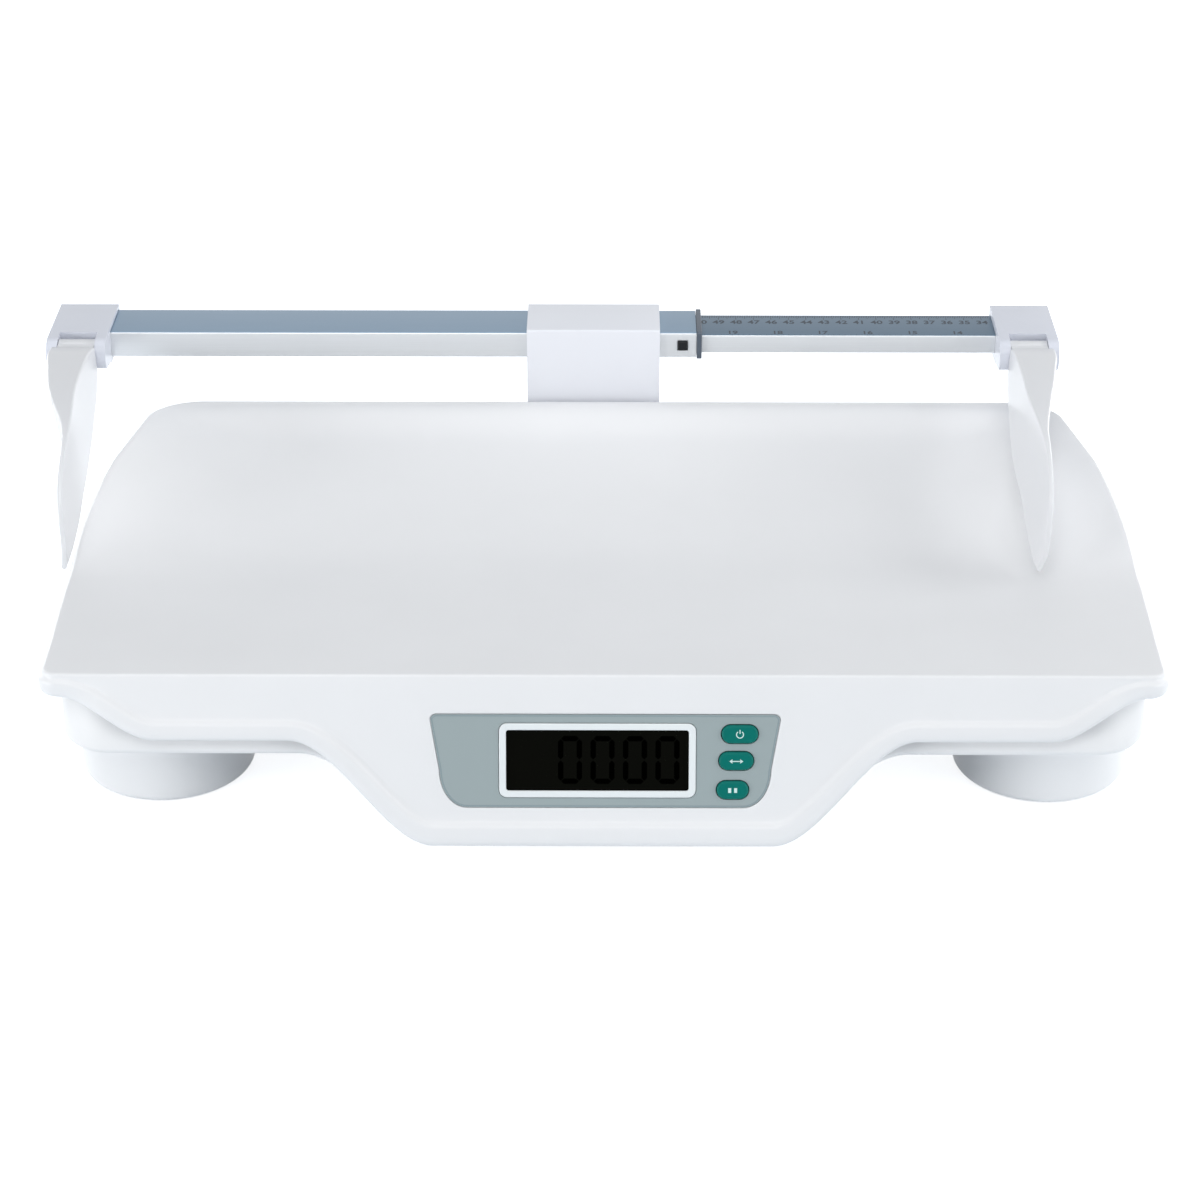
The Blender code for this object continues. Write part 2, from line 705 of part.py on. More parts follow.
def base_rings(rows):
    """Edge rounding and walls: low behind the cover's face, high at the sides and back."""
    loop = [rows[row][column] for row, column in border_walk(rows)]
    count = len(rows[0]) - 1
    rings = [[] for _ in range(4)]
    for k, (point, away) in enumerate(zip(loop, outward(loop))):
        low_top = point.z + BASE_FRONT_WALL
        high_top = rim_z(point.y) - BASE_TOP_GAP
        corner = smooth(CORNER_DROP_END, TRAY_WIDTH / 2 - BASE_CORNER, abs(point.x))
        top = low_top + (high_top - low_top) * corner if 0 < k < count else high_top
        leaning = 1.0 - smooth(BASE_FRONT_Y, BASE_FRONT_Y + BASE_CORNER, point.y)
        rounding = Vector((0.0, 0.0, BASE_EDGE * (1.0 - math.cos(math.pi / 4))))
        rings[0].append(point + away * BASE_EDGE * math.sin(math.pi / 4) + rounding)
        rings[1].append(point + away * BASE_EDGE + Vector((0.0, 0.0, BASE_EDGE)))
        for ring, share in ((rings[2], 0.5), (rings[3], 1.0)):
            up = (top - point.z - BASE_EDGE) * share
            ring.append(rings[1][-1] + Vector((0.0, math.tan(FACE_LEAN) * leaning * up, up)))
    return rings


def bay_size():
    """Length and width of the battery bay, inside its walls."""
    return CELL_LENGTH + CELL_CAP + 2 * BAY_END_ROOM, CELL_PITCH * CELL_COUNT + 2 * BAY_SIDE_ROOM


def cover_screw_places():
    reach = COVER_SCREW_X_SHARE * TRAY_WIDTH / 2
    return [(x, share * TRAY_DEPTH) for share in COVER_SCREW_Y_SHARES for x in (-reach, reach)]


def add_boss(base, x, y):
    """A screw boss on the inside of the base, with its screw hole."""
    top = boss_top(y)
    shape = moved(cylinder(BOSS_RADIUS, BASE_Z + BASE_WALL / 2, top, sides=12), (x, y, 0.0))
    join(base, piece("boss", shape, None, helper=True))
    bore = SCREW_RADIUS + GAP
    hole = moved(cylinder(bore, BASE_Z - OVERRUN, top + OVERRUN, sides=12), (x, y, 0.0))
    cut(base, piece("boss_bore", hole, None, helper=True))
    seat = SCREW_HEAD_RADIUS + GAP
    head = moved(cylinder(seat, BASE_Z - OVERRUN, BASE_Z + SCREW_HEAD, sides=16), (x, y, 0.0))
    cut(base, piece("boss_seat", head, None, helper=True))


def boss_top(y):
    """Top of a boss: just under the tray's sloping floor."""
    slope = math.atan((REAR_RISE + FLOOR_DIP) / (TRAY_DEPTH - CREASE_Y))
    return floor_z(y - BOSS_RADIUS) - COVER_WALL / math.cos(slope) - BOSS_GAP


def make_base():
    rows = base_rows()
    base = skirted_shell("base_shell", rows, base_rings(rows), BASE_WALL, BASE_PLASTIC, True)
    for x, y in cover_screw_places():
        add_boss(base, x, y)
    length, width = bay_size()
    low = (BAY_X - length / 2, BAY_Y - width / 2, BASE_Z - OVERRUN)
    high = (BAY_X + length / 2, BAY_Y + width / 2, BASE_Z + OVERRUN)
    cut(base, piece("bay_opening", box(low, high), None, helper=True))
    back = TRAY_DEPTH - BASE_INSET
    for side in (-1, 1):
        hole = cylinder(SCREW_RADIUS + GAP, back - OVERRUN - BASE_WALL, back + OVERRUN, "Y", 12)
        place = (BRACKET_X + side * BRACKET_SCREW_X, 0.0, BRACKET_SCREW_Z)
        cut(base, piece("bracket_hole", moved(hole, place), None, helper=True))
    hole = cylinder(SOCKET_RADIUS + GAP, back - OVERRUN - BASE_WALL, back + OVERRUN, "Y", 24)
    cut(base, piece("socket_hole", moved(hole, (SOCKET_X, 0.0, SOCKET_Z)), None, helper=True))
    return base


def screw_profile(length):
    """A pan-head screw that points up from its head."""
    head = [(0.0, length), (SCREW_RADIUS, length), (SCREW_RADIUS, 0.0), (SCREW_HEAD_RADIUS, 0.0)]
    edge = SCREW_HEAD_RADIUS * math.cos(math.pi / 4)
    head += [(SCREW_HEAD_RADIUS, -SCREW_HEAD / 2), (edge, -SCREW_HEAD), (0.0, -SCREW_HEAD)]
    return head


def make_screw(name, length, place, turn=(0.0, 0.0, 0.0), parent=FRAME):
    screw = turned_piece(name, screw_profile(length), SCREW_STEPS, STEEL, parent, place)
    screw.rotation_euler = turn
    for side in (0, 1):
        reach = SCREW_HEAD_RADIUS * math.cos(math.pi / 3)
        low = [-reach, -SCREW_SLOT / 2] if side else [-SCREW_SLOT / 2, -reach]
        high = [-value for value in low]
        slot = box((*low, -SCREW_HEAD - OVERRUN), (*high, -SCREW_HEAD / 2))
        cutter = piece(name + "_recess", slot, None, parent, place, helper=True)
        cutter.rotation_euler = turn
        cut(screw, cutter)
    return screw


def make_cover_screws():
    for number, (x, y) in enumerate(cover_screw_places(), 1):
        length = boss_top(y) - BASE_Z - SCREW_HEAD - BOSS_GAP
        make_screw("cover_screw_%d" % number, length, (x, y, BASE_Z + SCREW_HEAD - GAP))


# Feet


def foot_places():
    return {
        "front_left": (-FRONT_FOOT_X, FRONT_FOOT_Y),
        "front_right": (FRONT_FOOT_X, FRONT_FOOT_Y),
        "rear_left": (-REAR_FOOT_X, REAR_FOOT_Y),
        "rear_right": (REAR_FOOT_X, REAR_FOOT_Y),
    }


def foot_profile():
    """Round foot housing: a roof, a tapering wall with a rolled lower edge and an inner post."""
    top = BASE_Z - GAP
    lower = FOOT_RADIUS - FOOT_TAPER
    roof = top - FOOT_ROOF
    profile = [(0.0, top), (FOOT_RADIUS, top), (lower, FOOT_LIFT + FOOT_EDGE)]
    rolled = arc((lower - FOOT_EDGE, FOOT_LIFT + FOOT_EDGE), FOOT_EDGE, 0, -75, 3)
    profile += rolled[1:]
    inner = FOOT_RADIUS - FOOT_TAPER - FOOT_WALL
    profile += [(inner - FOOT_EDGE / 2, FOOT_LIFT), (inner, FOOT_LIFT + FOOT_EDGE), (inner, roof)]
    profile += [(POST_RADIUS, roof), (POST_RADIUS, POST_BOTTOM), (POST_BORE, POST_BOTTOM)]
    return profile + [(POST_BORE, roof), (0.0, roof)]


def cell_shape(base_z):
    """A flat load cell: a square plate whose middle tongue is freed by a C-shaped slot."""
    outer = rounded_rectangle(CELL_SIDE, CELL_SIDE, CELL_SLOT, steps=2)
    tongue, slot = CELL_TONGUE / 2, CELL_SLOT
    reach = CELL_SIDE / 2 - 2 * slot
    outside = [(-tongue - slot, -reach), (tongue + slot, -reach), (tongue + slot, reach)]
    outside += [(tongue, reach), (tongue, slot - reach), (-tongue, slot - reach)]
    outside += [(-tongue, reach), (-tongue - slot, reach)]
    return plate([outer, outside], base_z, base_z + CELL_THICK)


def pad_profile(stem_top):
    """A rubber foot with a chamfered tread edge and a stem that presses on the load cell."""
    bottom_edge = PAD_RADIUS - PAD_EDGE
    return [
        (0.0, stem_top),
        (PAD_STEM, stem_top),
        (PAD_STEM, PAD_THICK),
        (bottom_edge, PAD_THICK),
        (PAD_RADIUS, PAD_THICK - PAD_EDGE),
        (PAD_RADIUS, PAD_EDGE),
        (bottom_edge, 0.0),
        (0.0, 0.0),
    ]


def make_feet():
    cell_z = POST_BOTTOM - GAP - CELL_THICK
    for corner, (x, y) in foot_places().items():
        place = (x, y, 0.0)
        turned_piece("foot_" + corner, foot_profile(), TURN_STEPS, BASE_PLASTIC, place=place)
        piece("load_cell_" + corner, cell_shape(cell_z), STEEL, place=place)
        turned_piece("pad_" + corner, pad_profile(cell_z - GAP), PAD_STEPS, RUBBER, place=place)


# Display and keys, on the leaning face: x across, y up the face, z out of it


def panel_outline(grow):
    """The panel's edge: straight top, sides drawing in, and round lower corners."""
    bend = (PANEL_HALF_MIDDLE - PANEL_HALF_BOTTOM, PANEL_BOTTOM - PANEL_MIDDLE)
    right = [(PANEL_HALF_TOP - PANEL_CORNER, grow - PANEL_TOP)]
    right.append((PANEL_HALF_TOP + grow, -PANEL_TOP - PANEL_CORNER))
    centre = (PANEL_HALF_BOTTOM, -PANEL_MIDDLE)
    right += arc(centre, (bend[0] + grow, bend[1] + grow), 0, -90, 7)
    left = [(-x, y) for x, y in reversed(right)]
    return [(PANEL_X + x, y) for x, y in right + left]


def window_centre():
    return (WINDOW_X, -WINDOW_DROP)


def bezel_size():
    return WINDOW_WIDTH + 2 * BEZEL_WIDTH, WINDOW_HEIGHT + 2 * BEZEL_WIDTH


def make_panel():
    """The silver panel, with a hole for the window's bezel and one for each key."""
    back = GAP - PANEL_RECESS
    wide, high = bezel_size()
    hole = rounded_rectangle(
        wide + 2 * GAP, high + 2 * GAP, WINDOW_ROUND + BEZEL_WIDTH, window_centre()
    )
    loops = [panel_outline(0.0), hole]
    room = 2 * KEY_SIDE_GAP
    for x, drop, key_length in key_places().values():
        loops.append(stadium(key_length + room, KEY_HEIGHT + room, (x, -drop)))
    piece("display_panel", plate(loops, back, back + PANEL_THICK), SILVER, FACE)


def make_display():
    """Bezel, lens and the display module behind them."""
    wide, high = bezel_size()
    rim = rounded_rectangle(wide, high, WINDOW_ROUND + BEZEL_WIDTH, window_centre())
    window = rounded_rectangle(WINDOW_WIDTH, WINDOW_HEIGHT, WINDOW_ROUND, window_centre())
    seat = GAP - PANEL_RECESS
    piece("display_bezel", plate([rim, window], seat, BEZEL_PROUD), WHITE_PLASTIC, FACE)
    lens = rounded_rectangle(
        WINDOW_WIDTH + 2 * LENS_LAP, WINDOW_HEIGHT + 2 * LENS_LAP, WINDOW_ROUND, window_centre()
    )
    lens_front = seat - GAP
    piece("display_lens", plate([lens], lens_front - LENS_THICK, lens_front), GLASS, FACE)
    front = -COVER_WALL - GAP
    half_wide, half_high = WINDOW_WIDTH / 2 + MODULE_LAP, WINDOW_HEIGHT / 2 + MODULE_LAP
    low = (WINDOW_X - half_wide, -WINDOW_DROP - half_high, front - MODULE_DEPTH)
    high_corner = (WINDOW_X + half_wide, -WINDOW_DROP + half_high, front)
    piece("display_module", box(low, high_corner), DARK_PLASTIC, FACE)


def make_board():
    """The circuit board behind the display, on four spacers, with a switch behind each key."""
    front = -COVER_WALL - 2 * GAP - MODULE_DEPTH
    high, low = PANEL_TOP - BOARD_ABOVE, PANEL_BOTTOM - BOARD_BELOW
    reach = PANEL_HALF_TOP - BOARD_INSET
    middle = (PANEL_X, -(high + low) / 2)
    outline = rounded_rectangle(2 * reach, low - high, PANEL_CORNER, middle)
    board = piece("main_board", plate([outline], front - BOARD_THICK, front - GAP), CIRCUIT, FACE)
    for x in (PANEL_X - reach + SPACER_INSET, PANEL_X + reach - SPACER_INSET):
        for drop in (high + SPACER_INSET, low - SPACER_INSET):
            ends = (front - BOARD_THICK / 2, -COVER_WALL - GAP)
            spacer = moved(cylinder(BOARD_SPACER, *ends, sides=12), (x, -drop, 0.0))
            join(board, piece("spacer", spacer, None, FACE, helper=True))
    top = -COVER_WALL - GAP - KEY_FLANGE - KEY_TRAVEL - GAP
    for x, drop, _ in key_places().values():
        half = SWITCH_SIDE / 2
        low = (x - half, -drop - half, front - BOARD_THICK / 2)
        switch = piece("switch", box(low, (x + half, -drop + half, top)), None, FACE, helper=True)
        join(board, switch)


def make_keys():
    """Three keys: each a crowned cap with a flange that keeps it behind the cover."""
    for name, (x, drop, length) in key_places().items():
        inside = -COVER_WALL - GAP
        cap = plate([stadium(length, KEY_HEIGHT)], inside - KEY_FLANGE / 2, KEY_PROUD)
        key = piece(name, cap, TEAL, FACE, (x, -drop, 0.0))
        round_edges(key, KEY_CROWN)
        wide = stadium(length + 4 * KEY_FLANGE, KEY_HEIGHT + 2 * KEY_FLANGE)
        flange = plate([wide], inside - KEY_FLANGE, inside)
        join(key, piece(name + "_flange", flange, None, FACE, (x, -drop, 0.0), helper=True))


# Measuring rod, about its own axis


def tube(name, depth, height, left, right, surface=ALUMINIUM, parent=ROD):
    outer = rounded_rectangle(depth, height, TUBE_ROUND, steps=2)
    inner = rounded_rectangle(depth - 2 * TUBE_WALL, height - 2 * TUBE_WALL, TUBE_ROUND / 2, steps=2)
    return piece(name, along_x(plate([outer, inner], left, right)), surface, parent)


def inner_size():
    """Depth and height of the sliding tube, from the bore that it runs in."""
    lost = 2 * TUBE_WALL + 2 * SLIDE_GAP
    return OUTER_DEPTH - lost, OUTER_HEIGHT - lost


def make_tubes():
    outer = tube("outer_tube", OUTER_DEPTH, OUTER_HEIGHT, OUTER_LEFT_X, OUTER_RIGHT_X)
    half = LOCK_SIDE / 2 + GAP
    low = (LOCK_X - half, -OUTER_DEPTH / 2 - OVERRUN, -half)
    high = (LOCK_X + half, TUBE_WALL + SLIDE_GAP / 2 - OUTER_DEPTH / 2, half)
    cut(outer, piece("lock_hole", box(low, high), None, ROD, helper=True))
    depth, height = inner_size()
    right_end = RIGHT_FACE_X + HUB_WIDTH - HUB_END_WALL - GAP
    tube("inner_tube", depth, height, INNER_LEFT_X, right_end)
    rim = rounded_rectangle(
        OUTER_DEPTH + 2 * BUSH_PROUD, OUTER_HEIGHT + 2 * BUSH_PROUD, TUBE_ROUND, steps=2
    )
    bore = rounded_rectangle(depth + 2 * SLIDE_GAP, height + 2 * SLIDE_GAP, TUBE_ROUND / 2, steps=2)
    start = OUTER_RIGHT_X + GAP
    bush = along_x(plate([rim, bore], start, start + BUSH_THICK))
    piece("end_bush", bush, DARK_PLASTIC, ROD)


def make_lock():
    """The square button that frees the slide, in the front wall of the outer tube."""
    front = -OUTER_DEPTH / 2
    half = LOCK_SIDE / 2
    inside = TUBE_WALL + SLIDE_GAP / 2 - LOCK_TRAVEL
    shape = box((-half, -LOCK_PROUD, -half), (half, inside, half))
    round_edges(piece("lock_button", shape, DARK_PLASTIC, ROD, (LOCK_X, front, 0.0)), KEY_CROWN, 1)


def pivot():
    """Place of the paddle's pin, from the rod's axis."""
    return -OUTER_DEPTH / 2 - HUB_WALL - GAP - PIVOT_FORWARD, OUTER_HEIGHT / 2 + HUB_WALL - PIVOT_DROP


def make_hub(side, face_x, tube_size):
    """A hub: a socket for the tube's end and, in front, two round cheeks that hold the pin.

    Between the cheeks the hub is open in front and above, so that the paddle can stand upright.
    """
    away = -1 if side == "left" else 1
    back = OUTER_DEPTH / 2 + HUB_WALL + GAP
    top, bottom = OUTER_HEIGHT / 2 + HUB_WALL, -OUTER_HEIGHT / 2 - HUB_WALL
    y, z = pivot()
    outline = [(back, top), (y, z + CHEEK_RADIUS)]
    outline += arc((y, z), CHEEK_RADIUS, 90, 250, 8)[1:]
    outline += [(-back, bottom), (back, bottom)]
    ends = sorted((face_x, face_x + away * HUB_WIDTH))
    hub = piece("hub_" + side, along_x(plate([outline], *ends)), WHITE_PLASTIC, ROD)
    round_edges(hub, BORDER_BULGE / 2)
    depth, height = (size + 2 * GAP for size in tube_size)
    socket = sorted((face_x - away * OVERRUN, face_x + away * (HUB_WIDTH - HUB_END_WALL)))
    low = (socket[0], -depth / 2, -height / 2)
    high = (socket[1], depth / 2, height / 2)
    cut(hub, piece("socket_" + side, box(low, high), None, ROD, helper=True))
    slot = sorted((face_x + away * HUB_CHEEK, face_x + away * (HUB_WIDTH - HUB_CHEEK)))
    room = cylinder(BARREL_RADIUS + 2 * GAP, *slot, "X", 24)
    cut(hub, piece("slot_" + side, moved(room, (0.0, y, z)), None, ROD, helper=True))
    reach, behind = CHEEK_RADIUS + OVERRUN, BARREL_RADIUS + 3 * GAP
    mouth = [(y - reach, z - reach), (y, z - reach), (y, z), (y + behind, z), (y + behind, z + reach)]
    mouth = along_x(plate([mouth + [(y - reach, z + reach)]], *slot))
    cut(hub, piece("mouth_" + side, mouth, None, ROD, helper=True))
    bore = cylinder(PIN_RADIUS + GAP, ends[0] + HUB_CHEEK / 3, ends[1] - HUB_CHEEK / 3, "X", 16)
    cut(hub, piece("pin_bore_" + side, moved(bore, (0.0, y, z)), None, ROD, helper=True))
    pin = cylinder(PIN_RADIUS, ends[0] + HUB_CHEEK / 3 + GAP, ends[1] - HUB_CHEEK / 3 - GAP, "X", 16)
    piece("paddle_pin_" + side, pin, STEEL, ROD, (0.0, y, z))
    return y, z


def paddle_shape(away):
    """The paddle from its pin forward: sections lofted from a thick root to a thin measuring blade."""
    shape = bmesh.new()
    root = HUB_WIDTH - 2 * HUB_CHEEK - 2 * GAP
    rings = []
    for shares in PADDLE_SHARES:
        reach, thick = PADDLE_REACH * shares[0], root * shares[3]
        upper, lower = PADDLE_FALL * shares[1], PADDLE_FALL * shares[2]
        set_in = (HUB_CHEEK + GAP) * (1.0 - smooth(CHEEK_RADIUS, 2.5 * CHEEK_RADIUS, reach))
        inner = set_in + PADDLE_TOE_OUT * shares[0]
        outer = inner + thick
        edge = min(PADDLE_EDGE, (upper - lower) / 4)
        section = [
            (inner, lower + edge),
            (inner, upper - edge),
            (inner + edge, upper),
            (outer - edge, upper),
            (outer, upper - edge),
            (outer, lower + edge),
            (outer - edge, lower),
            (inner + edge, lower),
        ]
        rings.append([shape.verts.new((away * x, -reach, z)) for x, z in section])
    for near, far in zip(rings, rings[1:]):
        for k in range(len(near)):
            following = (k + 1) % len(near)
            shape.faces.new((near[k], near[following], far[following], far[k]))
    shape.faces.new(rings[0])
    shape.faces.new(reversed(rings[-1]))
    bmesh.ops.recalc_face_normals(shape, faces=shape.faces)
    return shape


def make_paddle(side, face_x, y, z):
    away = -1 if side == "left" else 1
    place = (face_x, y, z)
    paddle = piece("paddle_" + side, paddle_shape(away), WHITE_PLASTIC, ROD, place)
    ends = sorted((away * (HUB_CHEEK + GAP), away * (HUB_WIDTH - HUB_CHEEK - GAP)))
    barrel = cylinder(BARREL_RADIUS, *ends, "X", 24)
    join(paddle, piece("barrel_" + side, barrel, None, ROD, place, helper=True))
    bore = cylinder(PIN_RADIUS + GAP, ends[0] - OVERRUN, ends[1] + OVERRUN, "X", 16)
    cut(paddle, piece("paddle_bore_" + side, bore, None, ROD, place, helper=True))


def make_bracket():
    """The bracket: a sleeve round the outer tube, a leg behind the tray and a foot on the base."""
    front = -OUTER_DEPTH / 2 - BRACKET_WALL
    back = OUTER_DEPTH / 2 + BRACKET_WALL
    top, bottom = OUTER_HEIGHT / 2 + BRACKET_WALL, -OUTER_HEIGHT / 2 - BRACKET_WALL
    base_back = TRAY_DEPTH - BASE_INSET + GAP - ROD_Y
    outline = [
        (front, top),
        (front, BRACKET_NECK - ROD_Z),
        (base_back, BRACKET_FOOT_TOP - ROD_Z),
        (base_back, BRACKET_FOOT_BOTTOM - ROD_Z),
        (front + BRACKET_LEG, BRACKET_FOOT_BOTTOM - ROD_Z),
        (front + BRACKET_LEG, bottom - BRACKET_GUSSET),
        (back, bottom),
        (back, top),
    ]
    ends = (BRACKET_X - BRACKET_WIDTH / 2, BRACKET_X + BRACKET_WIDTH / 2)
    bracket = piece("rod_bracket", along_x(plate([outline], *ends)), WHITE_PLASTIC, ROD)
    round_edges(bracket, BRACKET_ROUND)
    low = (ends[0] - OVERRUN, -OUTER_DEPTH / 2 - GAP, -OUTER_HEIGHT / 2 - GAP)
    high = (ends[1] + OVERRUN, OUTER_DEPTH / 2 + GAP, OUTER_HEIGHT / 2 + GAP)
    cut(bracket, piece("bracket_sleeve", box(low, high), None, ROD, helper=True))
    head_y = ROD_Y + front + BRACKET_LEG
    grip = head_y - (TRAY_DEPTH - BASE_INSET - BASE_WALL) + SCREW_HEAD
    for number, side in enumerate((-1, 1), 1):
        x = BRACKET_X + side * BRACKET_SCREW_X
        hole = cylinder(SCREW_RADIUS + GAP, base_back - OVERRUN, front + BRACKET_LEG + OVERRUN, "Y", 12)
        place = (x, 0.0, BRACKET_SCREW_Z - ROD_Z)
        cut(bracket, piece("leg_hole", moved(hole, place), None, ROD, helper=True))
        seat = (x, head_y + GAP, BRACKET_SCREW_Z)
        make_screw("bracket_screw_%d" % number, grip, seat, (math.pi / 2, 0.0, 0.0))


# Battery bay and adaptor socket


def make_battery_bay():
    """The cells lie in a lidless box over the opening; a door closes it from below."""
    length, width = bay_size()
    floor = BASE_Z + BASE_WALL + GAP
    ceiling = floor + 2 * CELL_RADIUS + 2 * GAP
    half_long, half_wide = length / 2, width / 2
    shell = box(
        (BAY_X - half_long - BAY_WALL, BAY_Y - half_wide - BAY_WALL, floor),
        (BAY_X + half_long + BAY_WALL, BAY_Y + half_wide + BAY_WALL, ceiling + BAY_WALL),
    )
    tub = piece("battery_box", shell, DARK_PLASTIC)
    wide = BAY_WALL + BAY_FLANGE
    flange = box(
        (BAY_X - half_long - wide, BAY_Y - half_wide - wide, floor),
        (BAY_X + half_long + wide, BAY_Y + half_wide + wide, floor + BAY_WALL),
    )
    join(tub, piece("bay_flange", flange, None, helper=True))
    low = (BAY_X - half_long, BAY_Y - half_wide, floor - OVERRUN)
    hollow = box(low, (BAY_X + half_long, BAY_Y + half_wide, ceiling))
    cut(tub, piece("bay_hollow", hollow, None, helper=True))
    for number in range(1, CELL_COUNT + 1):
        y = BAY_Y + (number - (CELL_COUNT + 1) / 2) * CELL_PITCH
        toward = 1 if number % 2 else -1
        body = cylinder(CELL_RADIUS, -CELL_LENGTH / 2, CELL_LENGTH / 2, "X", 20)
        place = (BAY_X, y, floor + CELL_RADIUS + GAP)
        cell = piece("battery_%d" % number, body, CELL_JACKET, place=place)
        cap = sorted((toward * (CELL_LENGTH / 2 - CELL_CAP), toward * (CELL_LENGTH / 2 + CELL_CAP)))
        nub = cylinder(CELL_CAP_RADIUS, *cap, "X", 12)
        join(cell, piece("battery_cap", nub, None, place=place, helper=True))


def make_battery_door():
    """The door lies flush in the base, with a grooved thumb grip and a hooked lip inside."""
    length, width = bay_size()
    half_long, half_wide = length / 2 - GAP, width / 2 - GAP
    low = (-half_long, -half_wide, 0.0)
    place = (BAY_X, BAY_Y, BASE_Z)
    door = piece("battery_door", box(low, (half_long, half_wide, DOOR_THICK)), BASE_PLASTIC, place=place)
    for groove in range(-2, 3):
        middle = groove * DOOR_LIP
        start = half_long - DOOR_GRIP_WIDTH / 2 + middle / 2
        low = (start, -DOOR_GRIP_WIDTH / 2, -OVERRUN)
        high = (start + DOOR_GRIP_DEPTH, DOOR_GRIP_WIDTH / 2, DOOR_GRIP_DEPTH)
        cutter = piece("door_groove", box(low, high), None, place=place, helper=True)
        cut(door, cutter)


def make_socket():
    """The adaptor socket: a round barrel with a bore and its centre pin."""
    back = TRAY_DEPTH - BASE_INSET
    barrel = cylinder(SOCKET_RADIUS, -SOCKET_DEPTH, GAP + BASE_WALL / 2, "Y", 24)
    place = (SOCKET_X, back, SOCKET_Z)
    socket = piece("adaptor_socket", barrel, DARK_PLASTIC, place=place)
    rim = cylinder(SOCKET_RIM, GAP, GAP + BASE_WALL / 2, "Y", 24)
    join(socket, piece("socket_rim", rim, None, place=place, helper=True))
    bore = cylinder(SOCKET_BORE, GAP + BASE_WALL - SOCKET_DEPTH, OVERRUN, "Y", 16)
    cut(socket, piece("socket_bore", bore, None, place=place, helper=True))
    pin = cylinder(SOCKET_PIN, -SOCKET_DEPTH / 2 - SOCKET_DEPTH / 3, -BASE_WALL / 2, "Y", 8)
    join(socket, piece("socket_pin", pin, None, place=place, helper=True))


def centre_frame():
    """Moves the frame so that the origin is on the floor, under the middle of the whole object."""
    bpy.context.view_layer.update()
    graph = bpy.context.evaluated_depsgraph_get()
    corners = []
    for made in PARTS.objects:
        if made.type == "MESH":
            solid = made.evaluated_get(graph)
            corners += [solid.matrix_world @ vertex.co for vertex in solid.data.vertices]
    for axis in (0, 1):
        spans = [corner[axis] for corner in corners]
        FRAME.location[axis] = -(min(spans) + max(spans)) / 2


def main():
    make_cover()
    make_base()
    make_cover_screws()
    make_feet()
    make_panel()
    make_display()
    make_board()
    make_keys()
    make_tubes()
    make_lock()
    sizes = {"left": (OUTER_DEPTH, OUTER_HEIGHT), "right": inner_size()}
    for side, face_x in (("left", LEFT_FACE_X), ("right", RIGHT_FACE_X)):
        y, z = make_hub(side, face_x, sizes[side])
        make_paddle(side, face_x, y, z)
    make_bracket()
    make_battery_bay()
    make_battery_door()
    make_socket()
    centre_frame()


main()
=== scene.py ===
# %% [markdown]
# # A baby weighing scale with a measuring rod
#
# A shallow moulded tray lies on four pods. Its front leans down into an apron that holds a
# display and three keys, and behind it a telescoping rod carries two folding paddles. The packed
# model gives every piece its place, and this lesson builds the surfaces that the camera sees.

# %% Load the frame
import math

import bmesh
import bpy
import numpy as np
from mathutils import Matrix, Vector
from mathutils.geometry import delaunay_2d_cdt


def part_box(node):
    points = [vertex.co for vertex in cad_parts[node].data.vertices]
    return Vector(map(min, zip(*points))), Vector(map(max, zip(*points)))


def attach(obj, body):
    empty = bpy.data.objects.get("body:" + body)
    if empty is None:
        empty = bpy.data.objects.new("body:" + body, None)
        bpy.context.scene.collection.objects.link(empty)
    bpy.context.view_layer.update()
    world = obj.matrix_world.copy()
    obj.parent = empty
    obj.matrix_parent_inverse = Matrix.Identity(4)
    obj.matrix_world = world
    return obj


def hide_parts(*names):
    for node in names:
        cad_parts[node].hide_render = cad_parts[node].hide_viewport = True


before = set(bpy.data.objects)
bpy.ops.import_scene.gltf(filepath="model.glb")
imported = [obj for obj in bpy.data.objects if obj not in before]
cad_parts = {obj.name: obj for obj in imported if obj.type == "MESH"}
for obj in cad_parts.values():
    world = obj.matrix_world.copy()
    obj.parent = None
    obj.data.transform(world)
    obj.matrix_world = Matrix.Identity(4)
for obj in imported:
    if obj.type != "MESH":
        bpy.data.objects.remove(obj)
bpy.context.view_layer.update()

# %% [markdown]
# ## Where the tray's own axes are
#
# The tray is drawn about its own axes: X from its middle, Y from its front edge to the back, Z up
# from the table. The model's origin is under the middle of the whole object instead, so one
# offset, read from the rubber pads, carries every point over.

# %% Offset from the tray's axes to the model's
FRONT_PAD_Y = 0.0629
left_pad, right_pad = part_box("pad_front_left"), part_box("pad_front_right")
OFFSET = np.array([
    (left_pad[0].x + right_pad[1].x) / 2,
    (left_pad[0].y + left_pad[1].y) / 2 - FRONT_PAD_Y,
    0.0,
])
print("offset in mm:", np.round(OFFSET * 1000, 2))

# %% [markdown]
# ## Small tools for surfaces
#
# Every surface here is a grid of points worked out with numpy: rows by columns, joined by
# four-cornered faces. A sweep of closed sections, a turned profile and a flat outline with holes
# are three more ways to get points and faces, and all of them end in the same mesh call. An edge
# stays sharp where its faces turn by more than SHARP degrees, or another of the angles beside it.

# %% A mesh from points and faces
SHARP, BLUNT, SHELL_SHARP = 35.0, 50.0, 40.0
WELD, FINE_WELD = 1e-7, 1e-9


def to_object(name, points, faces, surface):
    """Points (n, 3) in the tray's axes and lists of corner numbers become an object at the origin."""
    mesh = bpy.data.meshes.new(name)
    mesh.from_pydata((np.asarray(points) + OFFSET).tolist(), [], [list(map(int, f)) for f in faces])
    mesh.validate()
    mesh.materials.append(surface)
    made = bpy.data.objects.new(name, mesh)
    bpy.context.scene.collection.objects.link(made)
    return made


